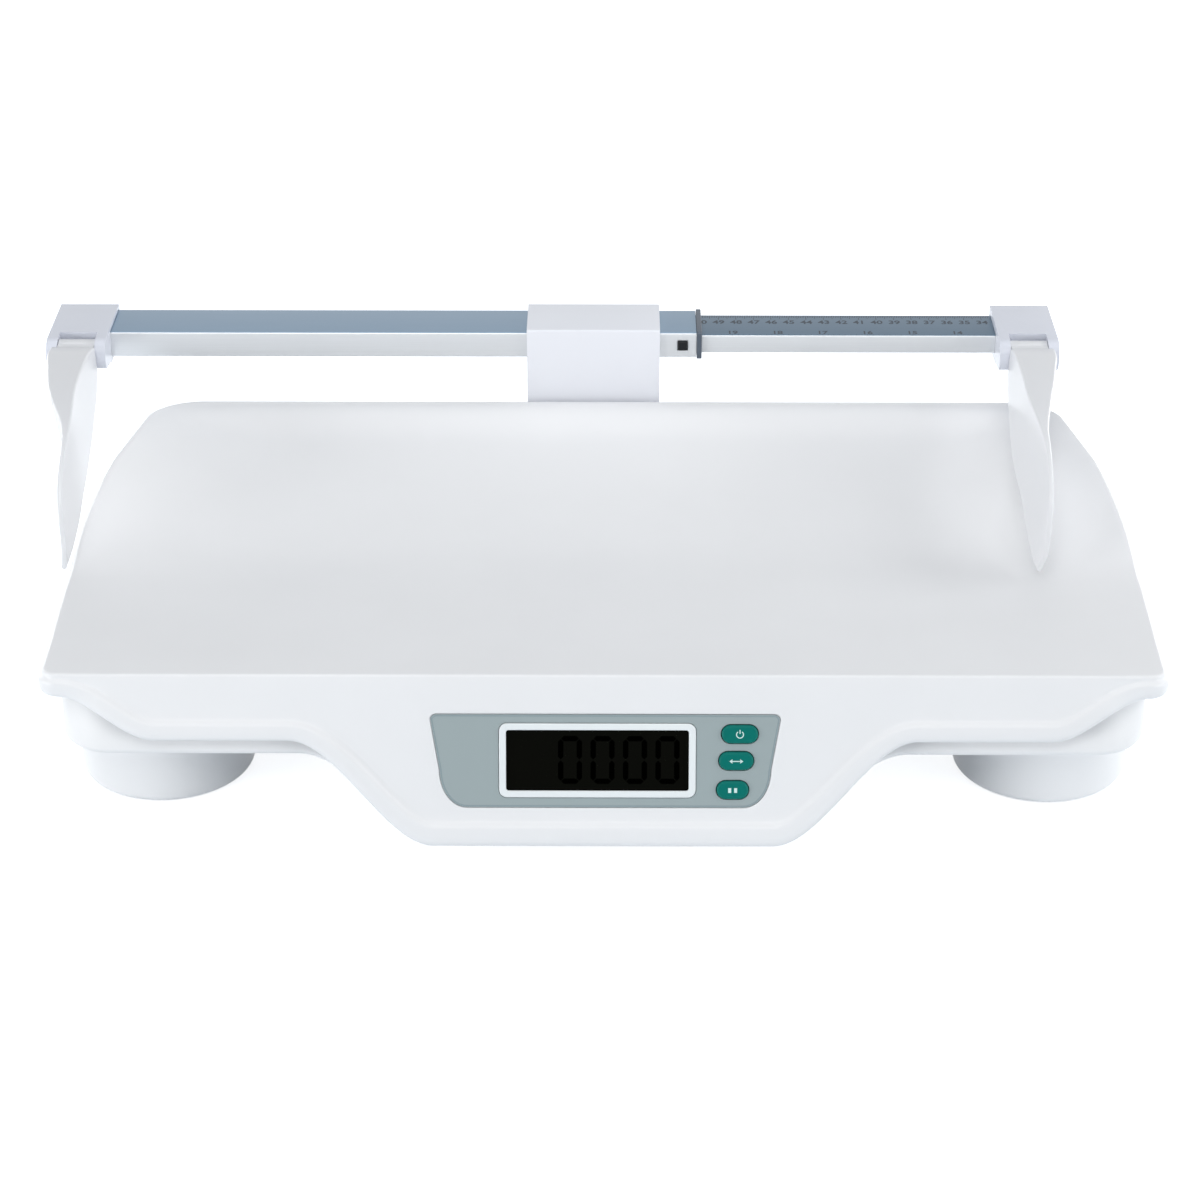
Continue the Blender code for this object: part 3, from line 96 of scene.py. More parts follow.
def close_up(made, angle=SHARP, weld=WELD):
    """Merges doubled points, turns every face outward and shades smooth below the given angle."""
    shape = bmesh.new()
    shape.from_mesh(made.data)
    bmesh.ops.remove_doubles(shape, verts=shape.verts, dist=weld)
    bmesh.ops.recalc_face_normals(shape, faces=shape.faces)
    shape.to_mesh(made.data)
    shape.free()
    made.data.shade_smooth()
    made.data.set_sharp_from_angle(angle=math.radians(angle))
    return made


print("an edge stays sharp past these degrees:", SHARP, BLUNT, SHELL_SHARP)

# %% Grids, sweeps and turned shapes
def grid_faces(rows, columns, closed=False, first=0):
    """Corner numbers of a rows x columns grid; closed also joins the last column to the first."""
    row = np.arange(rows - 1)[:, None] * columns
    column = np.arange(columns if closed else columns - 1)[None, :]
    following = (column + 1) % columns
    above = row + columns
    corners = np.stack([row + column, row + following, above + following, above + column], -1)
    return (corners.reshape(-1, 4) + first).tolist()


def sweep(name, sections, surface, angle=SHARP):
    """Closed sections (n, m, 3) joined in order, with a flat cap on each end."""
    count, around = sections.shape[:2]
    faces = grid_faces(count, around, closed=True)
    faces += [list(range(around)), list(range((count - 1) * around, count * around))]
    return close_up(to_object(name, sections.reshape(-1, 3), faces, surface), angle)


def turned(name, profile, centre, surface, around=96):
    """A profile of (radius, height) pairs turned about Z: x = r cos a, y = r sin a."""
    profile = np.asarray(profile)
    turn = np.linspace(0.0, 2 * math.pi, around, endpoint=False)
    radius, height = profile[:, :1], profile[:, 1:]
    rings = np.stack([radius * np.cos(turn), radius * np.sin(turn), height + 0 * turn], -1)
    points = (rings + np.asarray(centre)).reshape(-1, 3)
    return close_up(to_object(name, points, grid_faces(len(profile), around, closed=True), surface))


print("faces of a grid of 3 x 4 points:", len(grid_faces(3, 4)))

# %% Arcs and rounded outlines
def ease(low, high, value):
    """An even S: 0 before low, 1 past high, and 3t^2 - 2t^3 between them."""
    share = np.clip((np.asarray(value, float) - low) / (high - low), 0.0, 1.0)
    return share * share * (3.0 - 2.0 * share)


def arc(centre, radius, start, end, steps):
    """Points at even angles, in degrees; radius may be a pair for an ellipse."""
    turn = np.radians(np.linspace(start, end, steps + 1))
    wide, high = radius if isinstance(radius, tuple) else (radius, radius)
    return np.stack([centre[0] + wide * np.cos(turn), centre[1] + high * np.sin(turn)], -1)


def rounded(width, height, radius, centre=(0.0, 0.0), steps=8):
    """A rectangle with round corners, counter-clockwise."""
    x, y = width / 2 - radius, height / 2 - radius
    corners = ((x, y, 0), (-x, y, 90), (-x, -y, 180), (x, -y, 270))
    return np.concatenate([
        arc((centre[0] + across, centre[1] + up), radius, start, start + 90, steps)
        for across, up, start in corners
    ])


def round_corners(points, radius, steps=5):
    """Replaces each corner of an outline by an arc that touches both of its sides: its centre is on
    the corner's middle line, at radius over the sine of half the corner's angle."""
    points = np.asarray(points, float)
    before, after = np.roll(points, 1, axis=0) - points, np.roll(points, -1, axis=0) - points
    before /= np.linalg.norm(before, axis=1, keepdims=True)
    after /= np.linalg.norm(after, axis=1, keepdims=True)
    half = np.arccos(np.clip((before * after).sum(1), -1.0, 1.0)) / 2
    cut = (radius / np.tan(half))[:, None]
    middle = (before + after) / np.linalg.norm(before + after, axis=1, keepdims=True)
    centre = points + middle * (radius / np.sin(half))[:, None]
    first, last = points + before * cut - centre, points + after * cut - centre
    share = np.linspace(0.0, 1.0, steps + 1)[None, :, None]
    spoke = first[:, None] * (1 - share) + last[:, None] * share
    spoke *= radius / np.linalg.norm(spoke, axis=2, keepdims=True)
    return (centre[:, None] + spoke).reshape(-1, 2)


print("points of a rounded rectangle:", len(rounded(2.0, 1.0, 0.1)))


# %% Triangles inside outlines
INNER_TRIANGLES, TOUCHING = 1, 1e-10


def inside(points, loop):
    """Which points lie inside a loop, by counting the sides that a ray to the right crosses."""
    x, y = points[:, :1], points[:, 1:]
    x0, y0, x1, y1 = loop[:, 0], loop[:, 1], np.roll(loop[:, 0], -1), np.roll(loop[:, 1], -1)
    spans = (y0 > y) != (y1 > y)
    rise = np.where(y1 == y0, 1.0, y1 - y0)
    return ((x < x0 + (y - y0) / rise * (x1 - x0)) & spans).sum(1) % 2 == 1


def filled(loops):
    """Even triangles between an outer loop and the holes in it, as numbers into the joined loops."""
    loops = [np.asarray(loop, float) for loop in loops]
    flat, edges, start = np.concatenate(loops), [], 0
    for loop in loops:
        ring = np.arange(len(loop))
        edges += (np.stack([ring, np.roll(ring, -1)], -1) + start).tolist()
        start += len(loop)
    found = delaunay_2d_cdt([Vector(point) for point in flat.tolist()], edges, [], INNER_TRIANGLES, TOUCHING)
    number = np.array([origin[0] for origin in found[3]])
    triangles = number[np.array([list(face) for face in found[2]])]
    middles = flat[triangles].mean(1)
    keep = inside(middles, loops[0])
    for hole in loops[1:]:
        keep &= ~inside(middles, hole)
    return triangles[keep].tolist()


square, hole = rounded(2.0, 2.0, 0.2, steps=1), rounded(1.0, 1.0, 0.2, steps=1)
print("triangles between a square and its hole:", len(filled([square, hole])))


# %% Plates with soft edges
def plate(name, loops, low, high, surface, place):
    """A flat outline with holes between two heights; place carries (x, y, height) to the tray's axes.
    The numbers of the lower triangles, moved on by the count of points, give the upper ones."""
    flat = np.concatenate(loops)
    count = len(flat)
    points = np.concatenate([np.c_[flat, np.full(count, level)] for level in (low, high)])
    triangles = np.array(filled(loops))
    faces = triangles.tolist() + (triangles + count).tolist()
    start = 0
    for loop in loops:
        ring = np.arange(len(loop))
        after = (ring + 1) % len(loop)
        faces += (np.stack([ring, after, after + count, ring + count], -1) + start).tolist()
        start += len(loop)
    return close_up(to_object(name, place(points), faces, surface))


def soften(made, width, segments=3, angle=SHARP):
    """A live Bevel on the edges that are sharper than the angle."""
    step = made.modifiers.new("soft_edges", "BEVEL")
    step.width = width
    step.segments = segments
    step.limit_method = "ANGLE"
    step.angle_limit = math.radians(angle)
    step.harden_normals = False
    return made


# %% Cutting one piece out of another
def carve(target, cutters, operation="DIFFERENCE"):
    """Applies the target's modifiers and an exact Boolean with each cutter, then removes the cutters."""
    for cutter in cutters:
        step = target.modifiers.new("carve", "BOOLEAN")
        step.operation = operation
        step.object = cutter
    graph = bpy.context.evaluated_depsgraph_get()
    graph.update()
    mesh = bpy.data.meshes.new_from_object(target.evaluated_get(graph))
    target.modifiers.clear()
    target.data = mesh
    mesh.shade_smooth()
    mesh.set_sharp_from_angle(angle=math.radians(SHARP))
    for cutter in cutters:
        bpy.data.objects.remove(cutter)
    return target


print("tools:", [tool.__name__ for tool in (sweep, turned, plate, soften, carve)])

# %% [markdown]
# ## The camera
#
# The photograph was taken from above the front edge. Its viewing angle was worked out from the
# tray's corners, the pods and the rod: a long lens one and a half metres away, looking down by
# nearly 28 degrees. The lens is written as its length in pixels of the picture, because that is
# what such a fit gives.

# %% Camera
CAMERA_PLACE = np.array([0.00389, -1.30869, 0.81749])
CAMERA_TILT, CAMERA_TURN = math.radians(27.75), math.radians(0.24)
SENSOR_WIDTH = 36.0
FOCAL_PIXELS, PICTURE_PIXELS = 3053.5, 1200
VIEW_END = 20.0

camera = bpy.data.objects.new("camera", bpy.data.cameras.new("camera"))
camera.data.lens = SENSOR_WIDTH * FOCAL_PIXELS / PICTURE_PIXELS
camera.data.sensor_width = SENSOR_WIDTH
camera.data.clip_end = VIEW_END
camera.location = CAMERA_PLACE + OFFSET
camera.rotation_euler = (math.pi / 2 - CAMERA_TILT, 0.0, CAMERA_TURN)
bpy.context.scene.collection.objects.link(camera)
bpy.context.scene.camera = camera
bpy.context.scene.view_settings.view_transform = "Standard"
print("lens:", round(camera.data.lens, 2), "mm")

# %% [markdown]
# ## The studio
#
# The scale stands on a plain white table under soft lamps. A white picture does not need strong
# lamps: the table and the world show white to the camera, and to metal and glass, while the lamps
# stay at a plain level, so that pale plastic keeps its shading and the pods keep their shadow.

# %% Node trees for the table and the world
def empty_tree(owner):
    """Turns on the nodes of a material or a world and clears them; gives its nodes and links."""
    owner.use_nodes = True
    owner.node_tree.nodes.clear()
    return owner.node_tree.nodes, owner.node_tree.links


def seen_directly(nodes, links):
    """1 for camera, glossy and transmission rays, 0 for the rays that light the object."""
    path = nodes.new("ShaderNodeLightPath")
    first, second = nodes.new("ShaderNodeMath"), nodes.new("ShaderNodeMath")
    for step, one, two in ((first, path.outputs["Is Camera Ray"], path.outputs["Is Glossy Ray"]),
                           (second, first.outputs[0], path.outputs["Is Transmission Ray"])):
        step.operation = "MAXIMUM"
        links.new(one, step.inputs[0])
        links.new(two, step.inputs[1])
    return second.outputs[0]


# %% The table
TABLE_HALF, TABLE_GLOW = 6.0, 0.80
PAPER_COLOUR = (0.75, 0.80, 0.85, 1.0)

table_finish = bpy.data.materials.new("white_table")
nodes, links = empty_tree(table_finish)
paper, glow = nodes.new("ShaderNodeBsdfDiffuse"), nodes.new("ShaderNodeEmission")
paper.inputs["Color"].default_value = PAPER_COLOUR
strength = nodes.new("ShaderNodeMath")
strength.operation = "MULTIPLY"
strength.inputs[1].default_value = TABLE_GLOW
links.new(seen_directly(nodes, links), strength.inputs[0])
links.new(strength.outputs[0], glow.inputs["Strength"])
both, result = nodes.new("ShaderNodeAddShader"), nodes.new("ShaderNodeOutputMaterial")
links.new(paper.outputs[0], both.inputs[0])
links.new(glow.outputs[0], both.inputs[1])
links.new(both.outputs[0], result.inputs["Surface"])

table = to_object("table", np.array([[-1, -1, 0], [1, -1, 0], [1, 1, 0], [-1, 1, 0]]) * TABLE_HALF,
                  [[0, 1, 2, 3]], table_finish)
print("table:", 2 * TABLE_HALF, "m wide")

# %% The world
ROOM_COLOUR, ROOM_LEVEL = (0.80, 0.91, 1.0, 1.0), 0.16
BACKGROUND_COLOUR, BACKGROUND_LEVEL = (1.0, 1.0, 1.0, 1.0), 1.0

world = bpy.data.worlds.new("studio")
bpy.context.scene.world = world
nodes, links = empty_tree(world)
room, white = nodes.new("ShaderNodeBackground"), nodes.new("ShaderNodeBackground")
room.inputs["Color"].default_value = ROOM_COLOUR
room.inputs["Strength"].default_value = ROOM_LEVEL
white.inputs["Color"].default_value = BACKGROUND_COLOUR
white.inputs["Strength"].default_value = BACKGROUND_LEVEL
choice, result = nodes.new("ShaderNodeMixShader"), nodes.new("ShaderNodeOutputWorld")
links.new(seen_directly(nodes, links), choice.inputs["Fac"])
links.new(room.outputs[0], choice.inputs[1])
links.new(white.outputs[0], choice.inputs[2])
links.new(choice.outputs[0], result.inputs["Surface"])
print("world:", world.name)

# %% [markdown]
# ## The lamps
#
# White plastic shows its form only if its sides get different amounts of light. The key lamp above
# the front and the lamp above the tray light the dish, the lamp on the right draws the tray's left
# wall and the paddles, and two low lamps in front lift the apron and the pods. Two more stand low
# behind, to the sides, so that the back is as pale as the front and no flat top mirrors them to
# the camera.

# %% Lamps
def softbox(name, place, width, height, power, colour):
    """A soft rectangular lamp that looks from its place to the middle of the scale."""
    lamp = bpy.data.lights.new(name, "AREA")
    lamp.shape = "RECTANGLE"
    lamp.size, lamp.size_y, lamp.energy, lamp.color = width, height, power, colour
    made = bpy.data.objects.new(name, lamp)
    made.location = place
    made.rotation_euler = (Vector(AIM) - Vector(place)).to_track_quat("-Z", "Y").to_euler()
    bpy.context.scene.collection.objects.link(made)


AIM = (0.0, 0.0, 0.08)
WHITE, COOL_WHITE = (1.0, 1.0, 1.0), (0.97, 0.98, 1.0)
LAMPS = {
    "key_lamp": ((-0.2, -1.55, 1.75), 1.8, 1.0, 13.0, WHITE),
    "top_lamp": ((0.0, 0.05, 1.0), 1.6, 1.2, 5.0, COOL_WHITE),
    "right_lamp": ((1.9, 0.0, 1.15), 1.3, 1.0, 11.5, WHITE),
    "low_left_lamp": ((-1.9, -1.1, 0.35), 1.2, 0.6, 23.0, WHITE),
    "low_right_lamp": ((1.9, -1.1, 0.35), 1.2, 0.6, 15.0, WHITE),
    "back_left_lamp": ((-1.8, 1.7, 0.30), 1.2, 0.5, 9.0, WHITE),
    "back_right_lamp": ((1.8, 1.7, 0.30), 1.2, 0.5, 9.0, WHITE),
}
for name, lamp in LAMPS.items():
    softbox(name, *lamp)
print("lamps:", list(LAMPS))

# %% [markdown]
# ## Finishes
#
# Moulded plastic is never one flat colour: the mould leaves a fine grain, and the wall's tone
# drifts a little over a large part. Two noises on the object's own coordinates give both, one as
# a colour that drifts and one as a very low bump. Numbers that are the same all over a surface
# go straight on the shader's own sockets.

# %% A finish with a drifting tone and a fine grain
COAT_ROUGHNESS, DRIFT_DETAIL, GRAIN_DETAIL = 0.12, 3.0, 2.0


def finish(name, colour, roughness, metallic=0.0, drift=0.03, drift_scale=14.0, grain_scale=1400.0,
           grain=0.06, depth=0.00004, stretch=(1.0, 1.0, 1.0), coat=0.0, specular=0.5):
    """A Principled surface: noise mixes two close tones, and a finer noise raises the grain."""
    made = bpy.data.materials.new(name)
    made.use_nodes = True
    nodes, links = made.node_tree.nodes, made.node_tree.links
    shader = nodes["Principled BSDF"]
    for socket, value in (("Roughness", roughness), ("Metallic", metallic), ("Specular IOR Level", specular),
                          ("Coat Weight", coat), ("Coat Roughness", COAT_ROUGHNESS)):
        shader.inputs[socket].default_value = value
    where, stretched = nodes.new("ShaderNodeTexCoord"), nodes.new("ShaderNodeMapping")
    stretched.inputs["Scale"].default_value = stretch
    links.new(where.outputs["Object"], stretched.inputs["Vector"])
    broad, fine = nodes.new("ShaderNodeTexNoise"), nodes.new("ShaderNodeTexNoise")
    for noise, scale, detail in ((broad, drift_scale, DRIFT_DETAIL), (fine, grain_scale, GRAIN_DETAIL)):
        noise.inputs["Scale"].default_value = scale
        noise.inputs["Detail"].default_value = detail
        links.new(stretched.outputs[0], noise.inputs["Vector"])
    tones = nodes.new("ShaderNodeMix")
    tones.data_type = "RGBA"
    tones.inputs["A"].default_value = (*[value * (1.0 - drift) for value in colour], 1.0)
    tones.inputs["B"].default_value = (*[min(value * (1.0 + drift), 1.0) for value in colour], 1.0)
    links.new(broad.outputs["Fac"], tones.inputs["Factor"])
    links.new(tones.outputs["Result"], shader.inputs["Base Color"])
    raised = nodes.new("ShaderNodeBump")
    raised.inputs["Strength"].default_value = grain
    raised.inputs["Distance"].default_value = depth
    links.new(fine.outputs["Fac"], raised.inputs["Height"])
    links.new(raised.outputs["Normal"], shader.inputs["Normal"])
    return made


# %% Plastics and rubber
tray_plastic = finish("tray_plastic", (0.822, 0.824, 0.834), 0.36, grain=0.10)
base_plastic = finish("base_plastic", (0.875, 0.874, 0.878), 0.40, grain=0.10, specular=0.25)
hub_plastic = finish("hub_plastic", (0.685, 0.705, 0.775), 0.24, grain=0.06)
paddle_plastic = finish("paddle_plastic", (0.745, 0.75, 0.768), 0.28, grain=0.06)
bracket_plastic = finish("bracket_plastic", (0.80, 0.812, 0.857), 0.38, grain=0.08)
bezel_plastic = finish("bezel_plastic", (0.80, 0.84, 0.85), 0.30)
bush_plastic = finish("bush_plastic", (0.075, 0.095, 0.125), 0.40, grain=0.1)
black_plastic = finish("black_plastic", (0.010, 0.011, 0.013), 0.38, grain=0.2, specular=0.2)
pad_rubber = finish("pad_rubber", (0.40, 0.42, 0.43), 0.85, grain=0.5, grain_scale=900.0, depth=0.0001)
key_rubber = finish("key_rubber", (0.0005, 0.155, 0.130), 0.42, drift=0.08, drift_scale=220.0, grain=0.2,
                    specular=0.12)
print("plastics and rubber:", len(bpy.data.materials))

# %% [markdown]
# ## Films, glass and prints
#
# The panel is a metallised film, the window is a nearly black glass over the liquid crystal, and
# signs and numbers are ink. They could be pictures laid on the shapes, but here each is a thin
# shape of its own, so a plain finish is enough for it and its edge stays sharp from near by.

# %% Films, glass and prints
silver_film = finish("silver_film", (0.315, 0.375, 0.385), 0.34, 0.2, drift=0.02, grain_scale=2600.0,
                     grain=0.12)
# A darker band along the panel's edge: painted shade of its rounded edge.
painted_edge_shade = finish("painted_edge_shade", (0.24, 0.30, 0.32), 0.4, 0.2)
display_glass = finish("display_glass", (0.0016, 0.0018, 0.0009), 0.10, drift=0.10, grain=0.0, specular=0.03)
display_figures = finish("display_figures", (0.0003, 0.0003, 0.0002), 0.16, grain=0.0, specular=0.0)
key_print = finish("key_print", (0.62, 0.80, 0.77), 0.5)
ruler_print = finish("ruler_print", (0.022, 0.034, 0.050), 0.5, grain=0.0)
cell_jacket = finish("cell_jacket", (0.085, 0.095, 0.115), 0.30, 0.2, coat=0.3)
board_green = finish("board_green", (0.015, 0.13, 0.05), 0.42, drift=0.25, drift_scale=160.0)
print("with films and prints:", len(bpy.data.materials))

# %% [markdown]
# ## Metals
#
# The tubes are drawn aluminium with an anodised skin, and drawing leaves fine lines along them. The same
# two noises make such lines when they are stretched, slow along the rod and quick across it. The
# skin scatters light and mirrors little, so it is only half metallic, while screws and pins are
# plated steel and fully metallic. The darker slate on the tubes' upward faces is painted shade and
# painted dark reflection; on the inner tube it is also the ruler's own darker ground.

# %% Metals
BRUSHED = {"drift_scale": 30.0, "grain_scale": 60.0, "grain": 0.25, "depth": 0.00003,
           "stretch": (0.6, 60.0, 60.0)}

# The outer tube's tops: a darker slate that is painted shade and painted dark reflection.
painted_top_shade = finish("painted_top_shade", (0.225, 0.312, 0.408), 0.34, 0.55, drift=0.05, **BRUSHED)
silver_anodised = finish("silver_anodised", (0.70, 0.72, 0.74), 0.32, 0.45, drift=0.04, **BRUSHED)
# The inner tube's top: the ruler's darker ground, with the same painted shade as the outer top.
ruler_ground_and_top_shade = finish("ruler_ground_and_top_shade", (0.110, 0.168, 0.230), 0.34, 0.55, drift=0.05, **BRUSHED)
zinc_steel = finish("zinc_steel", (0.56, 0.57, 0.60), 0.26, 1.0, drift=0.08, drift_scale=300.0)
cell_steel = finish("cell_steel", (0.52, 0.53, 0.55), 0.38, 1.0, drift=0.08, drift_scale=160.0,
                    grain_scale=90.0, grain=0.3, stretch=(1.0, 30.0, 30.0))
print("with metals:", len(bpy.data.materials))

# %% [markdown]
# ## The tray
#
# The tray is one moulding: a long shallow dish whose back wall and two sides rise from a soft
# crease. It could be sculpted, but a rule is easier to trust: the floor's height along the middle
# is one function of depth, the rim's height is another, and the side walls blend from the first to
# the second with the square of the distance from where they start. Two wide dips where the crease
# meets the side walls, and a low crest along the rear rim, give the soft light and dark that such
# a moulding has.

# %% The tray's outline
TRAY_WIDTH, TRAY_DEPTH = 0.550, 0.275
TRAY_BULGE, BULGE_Y = 0.002, 0.100
TAPER_START, TAPER_EASE, TAPER_SLOPE = 0.121, 0.040, 0.19
CORNER_WIDTH, CORNER_DEPTH = 0.0250, 0.0200
FRONT_ROUND = 0.006


def half_width(y):
    """Half the width at depth y: a slight bulge, an even taper, a round back corner, a small front one."""
    y = np.asarray(y, float)
    side = TRAY_WIDTH / 2 + TRAY_BULGE * ease(0.0, BULGE_Y, y)
    past = np.clip(y - TAPER_START, 0.0, None)
    eased = np.where(past < TAPER_EASE, past ** 2 / (2 * TAPER_EASE), past - TAPER_EASE / 2)
    side = side - TAPER_SLOPE * eased
    back = np.clip((y - (TRAY_DEPTH - CORNER_DEPTH)) / CORNER_DEPTH, 0.0, 1.0)
    front = np.clip((FRONT_ROUND - y) / FRONT_ROUND, 0.0, 1.0)
    side = side - CORNER_WIDTH * (1.0 - np.sqrt(1.0 - back ** 2))
    return side - FRONT_ROUND * (1.0 - np.sqrt(1.0 - front ** 2))


print("tray width at the front and the back:", [round(2 * float(half_width(y)), 4) for y in (0.01, 0.25)])

# %% The tray's heights
RIM_Z, REAR_RISE, FLOOR_DIP = 0.088, 0.023, 0.006
CREASE_Y, CREASE_SOFTNESS, BACK_CURVE = 0.140, 0.012, 0.5
SIDE_RISE = (0.105, 0.205)
WALL_START_SHARE = 0.64
VALLEY_DIP, VALLEY_SHARE, VALLEY_SPREAD = 0.0025, 0.62, (0.17, 0.042)
CREST_WIDTH, CREST_RISE = 0.028, 0.0030
BUMP_SCALE = 27 / 4


def rim_height(y):
    """Level at the front, then an even rise to the back rim."""
    return RIM_Z + REAR_RISE * ease(*SIDE_RISE, y)


def floor_height(y):
    """A shallow parabola to the crease, then the back wall, joined by a hyperbola's soft knee."""
    y = np.asarray(y, float)
    dip = FLOOR_DIP * (1.0 - (1.0 - np.minimum(y / CREASE_Y, 1.0)) ** 2)
    back = TRAY_DEPTH - CREASE_Y
    share, soft = (y - CREASE_Y) / back, CREASE_SOFTNESS / back
    ramp = (share + np.hypot(share, soft)) / (1.0 + math.hypot(1.0, soft))
    ramp = ramp * (1.0 - BACK_CURVE + BACK_CURVE * ramp)
    return RIM_Z - dip + (REAR_RISE + FLOOR_DIP) * ramp


def tray_height(across, y):
    """The floor, blended to the rim with the square of the way up the wall, less a dip with the form
    of exp(-r^2) on each side, plus a crest n^2 (1 - n) that BUMP_SCALE makes one high."""
    wall = np.clip((np.abs(across) - WALL_START_SHARE) / (1.0 - WALL_START_SHARE), 0.0, 1.0)
    beside, behind = (np.abs(across) - VALLEY_SHARE) / VALLEY_SPREAD[0], (y - CREASE_Y) / VALLEY_SPREAD[1]
    valley = VALLEY_DIP * np.exp(-(beside ** 2 + behind ** 2)) * (1.0 - wall) ** 2
    near = np.clip((y - TRAY_DEPTH + CREST_WIDTH) / CREST_WIDTH, 0.0, 1.0)
    crest = CREST_RISE * BUMP_SCALE * near ** 2 * (1.0 - near) * (1.0 - wall ** 2)
    return floor_height(y) + (rim_height(y) - floor_height(y)) * wall ** 2 - valley + crest


print("rim above the table in front and behind:", rim_height(0.0).round(4), rim_height(TRAY_DEPTH).round(4))

# %% The tray's grid
QUARTER = math.pi / 2
FRONT_STEPS, SIDE_STEPS, CORNER_STEPS, COLUMNS = 6, 51, 16, 257
ROWS = np.concatenate([
    FRONT_ROUND * (1.0 - np.cos(np.linspace(0.0, QUARTER, FRONT_STEPS + 1)[:-1])),
    np.linspace(FRONT_ROUND, TRAY_DEPTH - CORNER_DEPTH, SIDE_STEPS + 1)[:-1],
    TRAY_DEPTH - CORNER_DEPTH * (1.0 - np.sin(np.linspace(0.0, QUARTER, CORNER_STEPS + 1))),
])
SHARES = np.linspace(-1.0, 1.0, COLUMNS)
across, depth = np.meshgrid(SHARES, ROWS)
TRAY_GRID = np.stack([across * half_width(depth), depth, tray_height(across, depth)], -1)
print("tray grid:", TRAY_GRID.shape[:2], "lowest point:", round(float(TRAY_GRID[..., 2].min()), 4), "m")

# %% [markdown]
# ## The apron and its rolled border
#
# From the rim the cover turns down. At the front it leans forward by 19 degrees and drops in one
# long S on each side to the display's chin. A rolled border follows that edge and runs on round the
# sides and back. Here each point of the rim sends a row of points down: a rounded rim, a flat
# face, and a bead whose width is measured square to the edge, so that it stays even on the S.

# %% How far the cover reaches down
FACE_LEAN = math.radians(19.0)
LEAN_FADE = (TRAY_WIDTH / 2 - 0.002, 0.245)
RIM_ROUND = 0.0016
SIDE_DROP, SHOULDER_DROP, CHIN_DROP = 0.0125, 0.0335, 0.0862
SHOULDER_START, CHIN_HALF = 0.155, 0.084
CORNER_FADE = (0.268, 0.221)


def front_drop(x):
    """The edge's distance down the face: side, shoulder and chin, joined by even S curves."""
    corner, chin = ease(*CORNER_FADE, np.abs(x)), ease(SHOULDER_START, CHIN_HALF, np.abs(x))
    return SIDE_DROP + (SHOULDER_DROP - SIDE_DROP) * corner + (CHIN_DROP - SHOULDER_DROP) * chin


def edge_walk(rows, columns):
    """Grid numbers of the outer points, counter-clockwise from the front left corner."""
    front, right = np.arange(columns - 1), np.arange(rows - 1) * columns + columns - 1
    back = rows * columns - 1 - np.arange(columns - 1)
    left = (rows - 1) * columns - np.arange(rows - 1) * columns
    return np.concatenate([front, right, back, left])


def tangents(loop):
    """Unit direction along a closed loop of points."""
    run = np.roll(loop, -1, axis=0) - np.roll(loop, 1, axis=0)
    return run / np.linalg.norm(run, axis=1, keepdims=True)


def along_and_away(loop):
    """Level unit directions along a loop and square to it, to the outside."""
    along = tangents(loop * [1.0, 1.0, 0.0])
    return along, np.stack([along[:, 1], -along[:, 0], 0 * along[:, 0]], -1)


print("drop at the middle and the corner:", front_drop(0.0).round(4), front_drop(TRAY_WIDTH / 2).round(4))

# %% The bead's profile
BEAD_HEIGHT, CHIN_BEAD_MORE = 0.0105, 0.0022
BEAD_BULGE, BEAD_RETURN = 0.0022, 0.0036
BEAD_STEPS, BEAD_RISE_SHARE, BEAD_TURN_SHARE = 13, 0.26, 0.62
BEAD_CROWN, BEAD_LIP = 0.14, 0.05


def bead_profile():
    """Height share and bulge share of the bead: a soft S up, a crown with the form of a sine, and a
    quarter ellipse as its lower edge."""
    share = np.linspace(0.0, 1.0, BEAD_STEPS)
    crown = ease(0.0, BEAD_RISE_SHARE, share) * (1.0 - BEAD_CROWN + BEAD_CROWN * np.sin(math.pi * share))
    past = np.clip(share - BEAD_TURN_SHARE, 0.0, 1.0) / (1.0 - BEAD_TURN_SHARE)
    lower = np.sqrt(np.clip(1.0 - past ** 2, 0.0, 1.0))
    return share, crown * (BEAD_LIP + (1.0 - BEAD_LIP) * lower)


print("the bead's bulge, top to bottom:", bead_profile()[1].round(2).tolist())

# %% Directions along the rim
LEAST_STEP = 1e-6
walk = edge_walk(len(ROWS), len(SHARES))
rim = TRAY_GRID.reshape(-1, 3)[walk]
rim_x = rim[:, 0]
along, away = along_and_away(rim)
on_front = rim[:, 1] < FRONT_ROUND * 0.5
drop = np.where(on_front, front_drop(rim_x), SIDE_DROP)
lean = np.where(on_front, FACE_LEAN * ease(*LEAN_FADE, np.abs(rim_x)), 0.0)[:, None]
down = np.concatenate([0 * lean, -np.sin(lean), -np.cos(lean)], 1)
out = away * np.cos(lean) + np.concatenate([0 * lean, 0 * lean, np.sin(lean)], 1)
slope = np.where(on_front, np.gradient(front_drop(rim_x)) / np.maximum(np.gradient(rim_x), LEAST_STEP), 0.0)
steep = np.sqrt(1.0 + slope ** 2)
chin_share = np.where(on_front, ease(SHOULDER_START, CHIN_HALF, np.abs(rim_x)), 0.0)
bead = BEAD_HEIGHT + CHIN_BEAD_MORE * chin_share
print("rim points:", len(rim), "of them in front:", int(on_front.sum()))

# %% The skirt, ring by ring
RIM_STEPS = 5
FACE_START, PATCH_TOP, PATCH_LOW = 0.10, 0.220, 0.940
FACE_SHARES = np.concatenate([[FACE_START, PATCH_TOP], np.linspace(PATCH_TOP, PATCH_LOW, 9)[1:], [1.0]])
FACE_FIRST, FACE_LAST = RIM_STEPS + 2, RIM_STEPS + 10


def skirt_ring(reach, fall, shift=0.0):
    """Each rim point moved outward by reach, down the face by fall and along the rim by shift."""
    return rim + out * reach + down * np.reshape(fall, (-1, 1)) + along * np.reshape(shift, (-1, 1))


